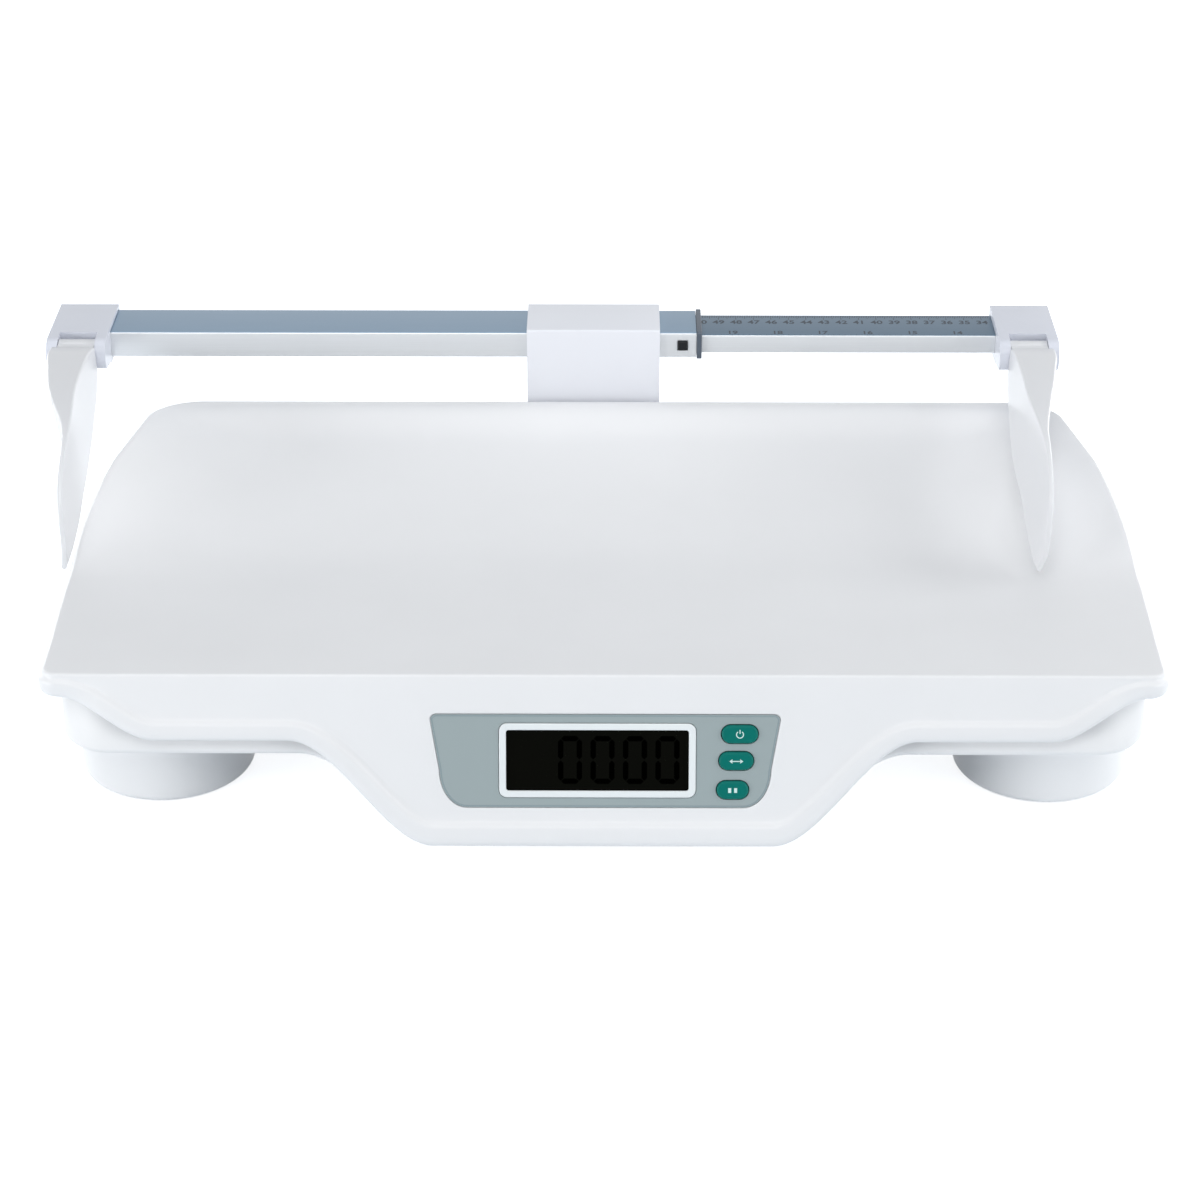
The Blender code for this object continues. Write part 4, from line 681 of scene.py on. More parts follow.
rings = []
for turn in np.linspace(0.0, QUARTER, RIM_STEPS + 1)[1:]:
    fall = np.full(len(rim), RIM_ROUND * (1.0 - math.cos(turn)))
    rings.append(skirt_ring(RIM_ROUND * math.sin(turn), fall))
inner_fall, inner_shift = drop - bead / steep, slope * bead / steep
for share in FACE_SHARES:
    rings.append(skirt_ring(RIM_ROUND, RIM_ROUND + (inner_fall - RIM_ROUND) * share, inner_shift * share))
for share, bulge in zip(*bead_profile()):
    if share > 0.0:
        rest = 1.0 - share
        fall = drop - bead / steep * rest
        rings.append(skirt_ring(RIM_ROUND + BEAD_BULGE * bulge, fall, inner_shift * rest))
rings.append(skirt_ring(-BEAD_RETURN / 2, drop))
rings.append(skirt_ring(-BEAD_RETURN, drop - BEAD_RETURN / 4))
print("skirt rings:", len(rings), "of", len(rim), "points")

# %% [markdown]
# ## The recess for the display
#
# The silver panel sits in a shallow recess of the leaning face. A Boolean could cut it, but the
# face is a plane, so it is cleaner to leave out a patch of the grid there and to fill it again
# with triangles between the patch's edge and the panel's outline, then to step down to a floor
# that has the window and the three key holes.

# %% The face as a drawing board
LEAN_SIN, LEAN_COS = math.sin(FACE_LEAN), math.cos(FACE_LEAN)


def face_place(points):
    """(x across, y up the face, z out of it) to the tray's axes; z = 0 is the cover's own surface."""
    x, y, z = np.asarray(points, float).T
    z = z + RIM_ROUND
    return np.stack([x, y * LEAN_SIN - z * LEAN_COS, RIM_Z + y * LEAN_COS + z * LEAN_SIN], -1)


def on_face(points):
    """The tray's axes back to (x across, y up the face)."""
    x, y, z = np.asarray(points, float).T
    return np.stack([x, y * LEAN_SIN + (z - RIM_Z) * LEAN_COS], -1)


print("where the face has its zero:", face_place([[0.0, 0.0, 0.0]])[0].round(4).tolist())

# %% Outlines of the panel, the window and the keys
PANEL_TOP, PANEL_BOTTOM, PANEL_MIDDLE = 0.0200, 0.0666, 0.0480
PANEL_HALF_TOP, PANEL_HALF_MIDDLE, PANEL_HALF_BOTTOM = 0.0860, 0.0815, 0.0680
PANEL_CORNER, PANEL_X, PANEL_RECESS = 0.0030, 0.0010, 0.0012
WINDOW_WIDTH, WINDOW_HEIGHT, WINDOW_ROUND, WINDOW_SEAT = 0.0900, 0.0304, 0.0022, 0.004
WINDOW_CENTRE, BEZEL_WIDTH = (-0.0028, -0.0430), 0.0034
KEYS = {"key_top": (0.0672, 0.0296, 0.0180), "key_middle": (0.0655, 0.0430, 0.0171),
        "key_bottom": (0.0638, 0.0576, 0.0158)}
KEY_HEIGHT, KEY_GAP = 0.0092, 0.0004


def panel_outline(grow=0.0, steps=12):
    """Straight top, small upper corners, sides that draw in, and quarter ellipses below."""
    corner = arc((PANEL_HALF_TOP - PANEL_CORNER, -PANEL_TOP - PANEL_CORNER), PANEL_CORNER + grow, 90, 10, 5)
    low = (PANEL_HALF_MIDDLE - PANEL_HALF_BOTTOM + grow, PANEL_BOTTOM - PANEL_MIDDLE + grow)
    right = np.concatenate([corner, arc((PANEL_HALF_BOTTOM, -PANEL_MIDDLE), low, 0, -90, steps)])
    return np.concatenate([right, right[::-1] * [-1, 1]])[::-1] + [PANEL_X, 0.0]


def slot_outline(length, height, centre, steps=10):
    """A slot with half-round ends."""
    half = (length - height) / 2
    return np.concatenate([arc((centre[0] + half, centre[1]), height / 2, -90, 90, steps),
                           arc((centre[0] - half, centre[1]), height / 2, 90, 270, steps)])


def key_outline(key, grow=0.0):
    """A key's slot, at its place down the face and larger all round by grow."""
    x, fall, length = KEYS[key]
    return slot_outline(length + 2 * grow, KEY_HEIGHT + 2 * grow, (x, -fall))


print("panel's width and height:", np.ptp(panel_outline(), axis=0).round(4).tolist())

# %% The recess under the panel
LIP = [(0.0009, 0.0), (0.00055, -0.00008), (0.0003, -0.0003), (0.0003, -PANEL_RECESS)]


def panel_recess(edge, numbers, first):
    """Fills from the patch's edge to the panel's outline, steps down the rounded lip, whose (grow,
    level) pairs LIP gives, and closes it with a floor that has the window and the key holes."""
    outlines = [panel_outline(grow) for grow, _ in LIP]
    size = len(outlines[0])
    link = np.concatenate([numbers, first + np.arange(size)])
    faces = link[np.array(filled([on_face(edge), outlines[0]]))].tolist()
    faces += grid_faces(len(LIP), size, closed=True, first=first)
    holes = [rounded(WINDOW_WIDTH + WINDOW_SEAT, WINDOW_HEIGHT + WINDOW_SEAT, WINDOW_ROUND, WINDOW_CENTRE)]
    holes += [key_outline(key, KEY_GAP) for key in KEYS]
    edges = np.concatenate(holes)
    floor = first + (len(LIP) - 1) * size + np.arange(size + len(edges))
    faces += floor[np.array(filled([outlines[-1]] + holes))].tolist()
    points = [face_place(np.c_[line, np.full(size, level)]) for line, (_, level) in zip(outlines, LIP)]
    points.append(face_place(np.c_[edges, np.full(len(edges), -PANEL_RECESS)]))
    return np.concatenate(points), faces


print("the lip's outlines:", len(LIP), "down to", PANEL_RECESS, "m")

# %% The cover's points and faces
PATCH_MARGIN = 0.009


def cover_points_and_faces():
    """The tray grid, the skirt with a patch left out, and the recess that fills the patch."""
    count, around = len(ROWS) * len(SHARES), len(rim)
    faces = grid_faces(len(ROWS), len(SHARES))
    numbers = [walk] + [count + k * around + np.arange(around) for k in range(len(rings))]
    columns = np.flatnonzero(on_front & (np.abs(rim_x) < PANEL_HALF_TOP + PATCH_MARGIN))
    left, right = columns[0], columns[-1]
    for level, (near, far) in enumerate(zip(numbers, numbers[1:])):
        keep = np.ones(around, bool)
        if FACE_FIRST <= level < FACE_LAST:
            keep[left:right] = False
        faces += np.stack([near, far, np.roll(far, -1), np.roll(near, -1)], -1)[keep].tolist()
    patch = np.concatenate([
        numbers[FACE_FIRST][left:right], [numbers[k][right] for k in range(FACE_FIRST, FACE_LAST)],
        numbers[FACE_LAST][left + 1:right + 1][::-1],
        [numbers[k][left] for k in range(FACE_LAST, FACE_FIRST, -1)],
    ])
    joined = np.concatenate([TRAY_GRID.reshape(-1, 3)] + rings)
    recess, more = panel_recess(joined[patch], patch, len(joined))
    return np.concatenate([joined, recess]), faces + more


cover_shape = cover_points_and_faces()
print("the cover's points and faces, one skin:", [len(part) for part in cover_shape])

# %% Thin shells, and a piece's place on its body
def shell(name, points, faces, surface, wall, up_first=True):
    """A thin shell: faces made to agree, turned so that the first looks up (or down), then a wall."""
    made = close_up(to_object(name, points, faces, surface), SHELL_SHARP)
    if (made.data.polygons[0].normal.z > 0) != up_first:
        made.data.flip_normals()
    step = made.modifiers.new("wall", "SOLIDIFY")
    step.thickness, step.offset, step.use_even_offset = wall, -1.0, True
    return made


def bind(made, body, slot, *nodes):
    """Puts a piece on the body that it moves with, in place of the nodes that it stands for."""
    if nodes:
        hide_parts(*nodes)
    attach(made, body)
    return made


# %% The tray and its apron in one mesh
COVER_WALL = 0.0024
tray_cover = shell("tray_cover", *cover_shape, tray_plastic, COVER_WALL)
bind(tray_cover, "scale_body", "white_plastic", "top_cover")
print("cover faces:", len(tray_cover.data.polygons))

# %% [markdown]
# ## The base under the tray
#
# The base is a second moulding that closes the tray from below. Only a narrow cool-white band of
# it shows under the border, but its underside has a well behind the display, a battery door and
# the screws. It is drawn as the floor first, a grid whose height sinks into the well, and its
# walls then climb inside the cover.

# %% The base's grid
BASE_Z, BASE_INSET, BASE_FRONT_Y = 0.043, 0.0042, -0.004
BASE_CORNER, BASE_EDGE = 0.022, 0.004
WELL_Z, WELL_REACH, WELL_INSET, WELL_BACK = 0.0085, 0.0150, 0.004, (0.026, 0.056)
BASE_CORNER_STEPS, WELL_STEPS, FLOOR_STEPS, BASE_COLUMNS = 12, 13, 19, 161


def base_half_width(y):
    """The tray's outline drawn in by the inset, with round front corners."""
    side = half_width(np.maximum(y, FRONT_ROUND) + BASE_INSET) - BASE_INSET
    ahead = np.clip((BASE_FRONT_Y + BASE_CORNER - y) / BASE_CORNER, 0.0, 1.0)
    return side - BASE_CORNER * (1.0 - np.sqrt(1.0 - ahead ** 2))


def base_grid():
    """Rows of the base's floor: drawn in by its edge, sunk and pushed forward at the well."""
    corner = np.sin(np.linspace(0.0, QUARTER, BASE_CORNER_STEPS + 1))
    last = TRAY_DEPTH - CORNER_DEPTH - BASE_INSET
    y = np.concatenate([
        BASE_FRONT_Y + BASE_CORNER * (1.0 - corner[::-1]), np.linspace(*WELL_BACK, WELL_STEPS + 1),
        np.linspace(WELL_BACK[1], last, FLOOR_STEPS + 1)[1:], last + CORNER_DEPTH * corner[1:],
    ])
    share, y = np.meshgrid(np.linspace(-1.0, 1.0, BASE_COLUMNS), y)
    x = share * (base_half_width(y) - BASE_EDGE)
    chin = ease(SHOULDER_START - WELL_INSET, CHIN_HALF - WELL_INSET, np.abs(x))
    held, shift = 1.0 - ease(*WELL_BACK, y), 1.0 - ease(BASE_FRONT_Y, WELL_BACK[0], y)
    inward = BASE_EDGE * (1.0 - 2.0 * ease(BASE_FRONT_Y, last + CORNER_DEPTH, y))
    return np.stack([x, y + inward - WELL_REACH * chin * shift, BASE_Z - (BASE_Z - WELL_Z) * chin * held], -1)


print("the base's grid:", base_grid().shape[:2], "lowest point:", base_grid()[..., 2].min().round(4))

# %% The base's walls
BASE_WALL, BASE_TOP_GAP, BASE_FRONT_WALL = 0.0026, 0.006, 0.013
EDGE_STEPS, WALL_SHARES = 6, (0.25, 0.5, 0.75, 1.0)


def base_points_and_faces():
    """The floor's grid, its rounded edge, and the walls up behind the border."""
    grid = base_grid()
    rows, columns = grid.shape[:2]
    walk = edge_walk(rows, columns)
    foot = grid.reshape(-1, 3)[walk]
    away = along_and_away(foot)[1]
    up = np.array([0.0, 0.0, 1.0])
    low = foot[:, 2] + BASE_FRONT_WALL
    high = rim_height(foot[:, 1]) - BASE_TOP_GAP
    corner = ease(CORNER_FADE[1], TRAY_WIDTH / 2 - BASE_CORNER, np.abs(foot[:, 0]))
    front = (np.arange(len(walk)) > 0) & (np.arange(len(walk)) < columns - 1)
    top = np.where(front, low + (high - low) * corner, high)
    leaning = 1.0 - ease(BASE_FRONT_Y, BASE_FRONT_Y + BASE_CORNER, foot[:, 1])
    rings = [foot + away * BASE_EDGE * math.sin(turn) + up * BASE_EDGE * (1.0 - math.cos(turn))
             for turn in np.linspace(0.0, QUARTER, EDGE_STEPS + 1)[1:]]
    edge = rings[-1]
    for share in WALL_SHARES:
        rise = ((top - foot[:, 2] - BASE_EDGE) * share)[:, None]
        back = np.array([0.0, math.tan(FACE_LEAN), 0.0]) * leaning[:, None] * rise
        rings.append(edge + up * rise + back)
    faces = grid_faces(rows, columns)
    numbers = [walk] + [rows * columns + k * len(walk) + np.arange(len(walk)) for k in range(len(rings))]
    for near, far in zip(numbers, numbers[1:]):
        faces += np.stack([near, far, np.roll(far, -1), np.roll(near, -1)], -1).tolist()
    return np.concatenate([grid.reshape(-1, 3)] + rings), faces


base_shape = base_points_and_faces()
print("the base's points and faces, one skin:", [len(part) for part in base_shape])

# %% Blocks and bars, for cuts and small parts
def block(name, low, high, surface=black_plastic):
    """A box between two corners, as a sweep of two rectangles."""
    (x0, y0, z0), (x1, y1, z1) = low, high
    ring = np.array([[x0, y0, 0], [x1, y0, 0], [x1, y1, 0], [x0, y1, 0]], float)
    return sweep(name, np.stack([ring + [0, 0, z0], ring + [0, 0, z1]]), surface)


def bar(name, radius, ends, centre, axis, surface=black_plastic, around=48):
    """A round bar along an axis (0, 1 or 2), between two ends measured from its centre."""
    turn = np.linspace(0.0, 2 * math.pi, around, endpoint=False)
    ring = np.zeros((2, around, 3))
    ring[:, :, (axis + 1) % 3] = radius * np.cos(turn)
    ring[:, :, (axis + 2) % 3] = radius * np.sin(turn)
    ring[:, :, axis] = np.array(sorted(ends))[:, None]
    return sweep(name, ring + np.asarray(centre, float), surface)


# %% The base with its openings
BACK_Y = TRAY_DEPTH - BASE_INSET
BAY_CENTRE, BAY_SIZE = (0.080, 0.150), (0.0592, 0.0632)
SCREW_X, SCREW_YS = 0.150, (0.075, 0.205)
SCREW_HOLE, SCREW_HOLE_DEPTH = 0.0039, 0.0022
BRACKET_X, BRACKET_SCREW_X, BRACKET_SCREW_Z, BRACKET_HOLE = -0.0065, 0.0240, 0.0730, 0.0020
SOCKET, SOCKET_HOLE = (-0.110, BACK_Y, 0.066), 0.0058
PAST, WALL_CUT = 0.005, (-0.008, 0.005)

base_shell = shell("base_moulding", *base_shape, base_plastic, BASE_WALL, up_first=False)
x, y = BAY_CENTRE
openings = [block("bay_cut", (x - BAY_SIZE[0] / 2, y - BAY_SIZE[1] / 2, BASE_Z - PAST),
                  (x + BAY_SIZE[0] / 2, y + BAY_SIZE[1] / 2, BASE_Z + PAST))]
for screw_y in SCREW_YS:
    for side in (-1, 1):
        ends = (BASE_Z - PAST, BASE_Z + SCREW_HOLE_DEPTH)
        openings.append(bar("screw_cut", SCREW_HOLE, ends, (side * SCREW_X, screw_y, 0.0), 2))
for side in (-1, 1):
    centre = (BRACKET_X + side * BRACKET_SCREW_X, BACK_Y, BRACKET_SCREW_Z)
    openings.append(bar("bracket_cut", BRACKET_HOLE, WALL_CUT, centre, 1))
openings.append(bar("socket_cut", SOCKET_HOLE, WALL_CUT, SOCKET, 1))
carve(base_shell, openings)
bind(base_shell, "scale_body", "base_plastic", "base_shell")
print("base faces:", len(base_shell.data.polygons))

# %% [markdown]
# ## Pods
#
# Each pod is a round housing with a rubber pad under it, and between them a load cell measures
# the weight. A turned profile is the natural way to make both: the housing tapers a little, as a
# moulding must to leave its mould, and its lower edge is rolled in.

# %% The pods' profile
FOOT_RADIUS, FOOT_TAPER, FOOT_EDGE, FOOT_LIFT, FOOT_WALL = 0.0454, 0.0010, 0.0045, 0.0016, 0.0025
FOOT_TOP, FOOT_ROOF, FOOT_CHAMFER = BASE_Z - 0.0003, 0.003, 0.0006
CELL_SEAT_OUT, CELL_SEAT_IN, CELL_SEAT_Z = 0.0190, 0.0135, 0.0160


def pod_profile():
    """From the roof's middle down the outside, round the rolled edge, up inside to the roof and
    down and up again round the ring that holds the load cell."""
    lower, roof = FOOT_RADIUS - FOOT_TAPER, FOOT_TOP - FOOT_ROOF
    wall = [(0.0, FOOT_TOP), (FOOT_RADIUS - FOOT_CHAMFER, FOOT_TOP), (FOOT_RADIUS, FOOT_TOP - FOOT_CHAMFER)]
    rolled = arc((lower - FOOT_EDGE, FOOT_LIFT + FOOT_EDGE), FOOT_EDGE, 0, -80, 10)
    inner = lower - FOOT_WALL
    back = [(inner - FOOT_EDGE / 2, FOOT_LIFT), (inner, FOOT_LIFT + FOOT_EDGE), (inner, roof),
            (CELL_SEAT_OUT, roof), (CELL_SEAT_OUT, CELL_SEAT_Z), (CELL_SEAT_IN, CELL_SEAT_Z),
            (CELL_SEAT_IN, roof), (0.0, roof)]
    return np.concatenate([wall, rolled, back])


print("the pod's radius and height:", np.ptp(pod_profile(), axis=0).round(4).tolist())

# %% The rubber pads' profile
PAD_RADIUS, PAD_ROUND, PAD_TOP = 0.0365, 0.0015, 0.007
STEM_RADIUS, STEM_TOP = 0.005, 0.0124
TREAD_RADII, TREAD_DEPTH, TREAD_HALF, TREAD_FLOOR_HALF = (0.030, 0.022, 0.014), 0.0005, 0.0012, 0.0008


def pad_profile():
    """A flat pad with round edges, three shallow rings in its tread and a stem on top."""
    edge = arc((PAD_RADIUS, PAD_TOP - PAD_ROUND), PAD_ROUND, 90, 0, 5)
    under = arc((PAD_RADIUS, PAD_ROUND), PAD_ROUND, 0, -90, 5)
    tread = []
    for radius in TREAD_RADII:
        tread += [(radius + TREAD_HALF, 0.0), (radius + TREAD_FLOOR_HALF, TREAD_DEPTH),
                  (radius - TREAD_FLOOR_HALF, TREAD_DEPTH), (radius - TREAD_HALF, 0.0)]
    stem = [(0.0, STEM_TOP), (STEM_RADIUS, STEM_TOP), (STEM_RADIUS, PAD_TOP)]
    return np.concatenate([stem, edge, under, tread, [(0.0, 0.0)]])


print("the pad's radius and height:", np.ptp(pad_profile(), axis=0).round(4).tolist())

# %% The four pods
FRONT_POD_X, REAR_POD_X, REAR_POD_Y = 0.2262, 0.206, 0.212
PODS = {"front_left": (-FRONT_POD_X, FRONT_PAD_Y), "front_right": (FRONT_POD_X, FRONT_PAD_Y),
        "rear_left": (-REAR_POD_X, REAR_POD_Y), "rear_right": (REAR_POD_X, REAR_POD_Y)}
for corner, (x, y) in PODS.items():
    pod = turned("pod_" + corner, pod_profile(), (x, y, 0.0), base_plastic, 128)
    pad = turned("tread_" + corner, pad_profile(), (x, y, 0.0), pad_rubber, 96)
    bind(pod, "scale_body", "base_plastic", "foot_" + corner)
    bind(pad, "scale_body", "grey_rubber", "pad_" + corner)
print("pods:", list(PODS))

# %% [markdown]
# ## The display
#
# Four flat layers lie in the recess: the silver panel, a white bezel that stands a little proud of
# it, dark glass behind the bezel, and on the glass the unlit figures of the liquid crystal, which
# show as a slightly deeper black. All of them are flat, so outlines on the leaning face that get a
# thickness draw them with the fewest faces and with exact edges.

# %% Panel, bezel and glass
PANEL_LEVEL, BEZEL_LEVEL, SEAT = 0.0001, 0.0007, 0.0003 - PANEL_RECESS
BEZEL_SIZE = (WINDOW_WIDTH + 2 * BEZEL_WIDTH, WINDOW_HEIGHT + 2 * BEZEL_WIDTH)
BEZEL_ROUND, BEZEL_GAP = WINDOW_ROUND + BEZEL_WIDTH * 0.5, 0.0003
PANEL_SOFT, BEZEL_SOFT = 0.0002, 0.0005
# The LINE_ values place the painted edge shade, a ring just inside the panel's outline.
LINE_OUT, LINE_IN, LINE_SINK, LINE_PROUD = -0.0003, -0.0011, 0.0001, 0.00004
GLASS_LEVEL, GLASS_THICK, GLASS_MORE, GLASS_ROUND = SEAT - 0.0003, 0.0012, 0.0036, 0.002

bezel_hole = rounded(BEZEL_SIZE[0] + 2 * BEZEL_GAP, BEZEL_SIZE[1] + 2 * BEZEL_GAP,
                     BEZEL_ROUND + BEZEL_GAP, WINDOW_CENTRE)
panel = plate("silver_face", [panel_outline(), bezel_hole] + [key_outline(key, KEY_GAP) for key in KEYS],
              SEAT, PANEL_LEVEL, silver_film, face_place)
bind(soften(panel, PANEL_SOFT, 2), "scale_body", "silver_panel", "display_panel")
# A thin darker ring just inside the panel's outline paints the shade of its rounded edge.
line = plate("panel_edge_shade_line", [panel_outline(LINE_OUT), panel_outline(LINE_IN)],
             PANEL_LEVEL - LINE_SINK, PANEL_LEVEL + LINE_PROUD, painted_edge_shade, face_place)
bind(line, "scale_body", "silver_panel")

window = rounded(WINDOW_WIDTH, WINDOW_HEIGHT, WINDOW_ROUND * 0.6, WINDOW_CENTRE)
bezel = plate("window_bezel", [rounded(*BEZEL_SIZE, BEZEL_ROUND, WINDOW_CENTRE), window],
              SEAT, BEZEL_LEVEL, bezel_plastic, face_place)
bind(soften(bezel, BEZEL_SOFT, 3), "scale_body", "white_bezel", "display_bezel")
sheet = rounded(WINDOW_WIDTH + GLASS_MORE, WINDOW_HEIGHT + GLASS_MORE, GLASS_ROUND, WINDOW_CENTRE)
glass = plate("window_glass", [sheet], GLASS_LEVEL - GLASS_THICK, GLASS_LEVEL, display_glass, face_place)
bind(glass, "scale_body", "display_glass", "display_lens")
print("display layers:", panel.name, bezel.name, glass.name)

# %% Thin marks and the unlit figures
DIGIT_WIDTH, DIGIT_HEIGHT, DIGIT_PITCH, DIGIT_STROKE, DIGITS = 0.0118, 0.0240, 0.0160, 0.0026, 4
DIGIT_END, SEGMENT_GAP = 0.0105, 0.0003
MARK_SINK, FIGURE_PROUD = 0.0001, 0.00003


def flat_marks(name, outlines, low, high, surface, place):
    """Separate flat marks of equal point count, each a thin prism, in one mesh."""
    outlines = np.asarray(outlines)
    marks, count = outlines.shape[:2]
    flat = outlines.reshape(-1, 2)
    points = np.concatenate([np.c_[flat, np.full(len(flat), level)] for level in (low, high)])
    ring = np.arange(count)
    start = (np.arange(marks) * count)[:, None]
    after, total = (ring + 1) % count, marks * count
    sides = np.stack([start + ring, start + after, start + after + total, start + ring + total], -1)
    faces = sides.reshape(-1, 4).tolist() + (start + ring[::-1]).tolist() + (start + ring + total).tolist()
    return close_up(to_object(name, place(points), faces, surface), weld=FINE_WELD)


def segment(start, end, width):
    """A bar with pointed ends between two points, as one outline."""
    start, end = np.asarray(start, float), np.asarray(end, float)
    run = (end - start) / np.linalg.norm(end - start)
    side = np.array([-run[1], run[0]]) * width / 2
    near, far = start + run * width / 2, end - run * width / 2
    return np.array([start, near - side, far - side, end, far + side, near + side])


def zero(x, y):
    """The six outer segments of one figure about its middle."""
    wide, high = (DIGIT_WIDTH - DIGIT_STROKE) / 2, (DIGIT_HEIGHT - DIGIT_STROKE) / 2
    strokes = []
    for turn in (-1, 1):
        level, reach = y + turn * high, wide - SEGMENT_GAP
        strokes.append(segment((x - reach, level), (x + reach, level), DIGIT_STROKE))
        low, top = sorted((y + turn * SEGMENT_GAP, y + turn * (high - SEGMENT_GAP)))
        for side in (-1, 1):
            strokes.append(segment((x + side * wide, low), (x + side * wide, top), DIGIT_STROKE))
    return strokes


figures = []
last_digit = WINDOW_CENTRE[0] + WINDOW_WIDTH / 2 - DIGIT_END
for digit in range(DIGITS):
    figures += zero(last_digit - (DIGITS - 1 - digit) * DIGIT_PITCH, WINDOW_CENTRE[1])
ghosts = flat_marks("unlit_figures", figures, GLASS_LEVEL - MARK_SINK, GLASS_LEVEL + FIGURE_PROUD,
                    display_figures, face_place)
bind(ghosts, "scale_body", "display_glass")
print("unlit segments:", len(figures))

# %% [markdown]
# ## The keys
#
# Each key is a teal cap with a domed edge that comes up through its hole. Rings of the same slot
# outline, each a little smaller and higher than the last, make the dome. A plain sign lies on each
# cap: a ring with a stroke, a double arrow and two bars.

# %% Key caps
KEY_PROUD, KEY_BACK = 0.0016, -0.0029
DOME = [(0.0, KEY_BACK), (0.0, -0.0004), (0.0, 0.0006), (0.00012, 0.00098), (0.0004, 0.0013),
        (0.0008, 0.0015), (0.0014, KEY_PROUD), (0.0026, KEY_PROUD + 0.00005)]


def key_cap(name, key):
    """Slot outlines drawn in and raised by the (inset, level) pairs of DOME, joined in order."""
    outlines = [(key_outline(key, -inset), level) for inset, level in DOME]
    sections = [face_place(np.c_[line, np.full(len(line), level)]) for line, level in outlines]
    return sweep(name, np.stack(sections), key_rubber, angle=BLUNT)


print("a key's outlines:", len(DOME), "of", len(key_outline("key_top")), "points")

# %% Signs on the keys
SIGN_PROUD = 0.00009
RING_RADIUS, RING_STROKE, RING_OPENING = 0.0017, 0.0005, (125, 415)
STROKE_HALF, STROKE_ENDS = 0.00025, (0.0004, 0.0024)
SHAFT_END, ARROW_TIP, ARROW_BACK, ARROW_HALF = 0.0022, 0.0034, 0.0019, 0.0011
BAR_IN, BAR_OUT, BAR_HALF = 0.0007, 0.0022, 0.0012


def bow(radius, width, start, end, steps=20):
    """A curved stroke: an arc out and the same arc back."""
    return np.concatenate([arc((0, 0), radius + width / 2, start, end, steps),
                           arc((0, 0), radius - width / 2, end, start, steps)])


def bar_mark(x0, y0, x1, y1):
    """A rectangle between two corners, counter-clockwise."""
    return np.array([[x0, y0], [x1, y0], [x1, y1], [x0, y1]])


SIGNS = {
    "key_top": ("top_key", [
        bow(RING_RADIUS, RING_STROKE, *RING_OPENING),
        bar_mark(-STROKE_HALF, STROKE_ENDS[0], STROKE_HALF, STROKE_ENDS[1]),
    ]),
    "key_middle": ("middle_key", [
        bar_mark(-SHAFT_END, -STROKE_HALF, SHAFT_END, STROKE_HALF),
        np.array([[-ARROW_TIP, 0.0], [-ARROW_BACK, -ARROW_HALF], [-ARROW_BACK, ARROW_HALF]]),
        np.array([[ARROW_TIP, 0.0], [ARROW_BACK, ARROW_HALF], [ARROW_BACK, -ARROW_HALF]]),
    ]),
    "key_bottom": ("bottom_key", [
        bar_mark(-BAR_OUT, -BAR_HALF, -BAR_IN, BAR_HALF),
        bar_mark(BAR_IN, -BAR_HALF, BAR_OUT, BAR_HALF),
    ]),
}
for key, (body, outlines) in SIGNS.items():
    bind(key_cap(body + "_cap", key), body, "teal_keys", key)
    x, fall, _ = KEYS[key]
    for number, outline in enumerate(outlines):
        mark = flat_marks("%s_sign_%d" % (body, number), [outline + [x, -fall]], KEY_PROUD - MARK_SINK,
                          KEY_PROUD + SIGN_PROUD, key_print, face_place)
        bind(mark, body, "teal_keys")
print("keys:", sorted(KEYS))

# %% [markdown]
# ## The measuring rod
#
# Two rectangular tubes run behind the tray, one inside the other. Their faces are pale silver, and the
# faces that look up take a darker slate: on the outer tube that is painted shade and painted dark
# reflection, and on the inner tube it is the ruler's darker ground with the same painted shade. The
# end of the outer tube wears a dark bush, and a square button locks the slide.

# %% The two tubes
ROD_Y, ROD_Z = 0.3013, 0.1419
OUTER_TUBE, TUBE_WALL, TUBE_ROUND, SLIDE_GAP = (0.034, 0.015), 0.0016, 0.0012, 0.0004
INNER_TUBE = tuple(size - 2 * TUBE_WALL - 2 * SLIDE_GAP for size in OUTER_TUBE)
OUTER_ENDS, INNER_ENDS = (-0.3040, 0.0516), (-0.1150, 0.2492)
ROD_FRONT = ROD_Y - OUTER_TUBE[0] / 2
LOCK_X, LOCK_HOLE_HALF, LOCK_HOLE_DEPTHS = 0.0439, 0.0031, (-0.004, 0.0018)
UPWARD = 0.7


def rod_place(points):
    """(behind, above, along) from the rod's axis to the tray's axes."""
    y, z, x = np.asarray(points, float).T
    return np.stack([x, y + ROD_Y, z + ROD_Z], -1)


def two_tone(made, top_surface):
    """Faces that look up, whose normal's height is over UPWARD, take the second finish: a darker one that
    paints shade and dark reflection on the tops.
    """
    made.data.materials.append(top_surface)
    normals = np.empty(len(made.data.polygons) * 3)
    made.data.polygons.foreach_get("normal", normals)
    upward = (normals.reshape(-1, 3)[:, 2] > UPWARD).astype(np.int32)
    made.data.polygons.foreach_set("material_index", upward)
    return made


def tube(name, size, ends):
    """A rounded rectangle with a hollow, seen along the rod, between its two ends."""
    hollow = (size[0] - 2 * TUBE_WALL, size[1] - 2 * TUBE_WALL)
    loops = [rounded(*size, TUBE_ROUND, steps=6), rounded(*hollow, TUBE_ROUND / 2, steps=6)]
    return plate(name, loops, *ends, silver_anodised, rod_place)


def lock_block(name, half, depths):
    """A square block about the lock button's axis, between two depths from the rod's front."""
    return block(name, (LOCK_X - half, ROD_FRONT + depths[0], ROD_Z - half),
                 (LOCK_X + half, ROD_FRONT + depths[1], ROD_Z + half))


lock_hole = lock_block("lock_cut", LOCK_HOLE_HALF, LOCK_HOLE_DEPTHS)
outer = carve(tube("outer_slide", OUTER_TUBE, OUTER_ENDS), [lock_hole])
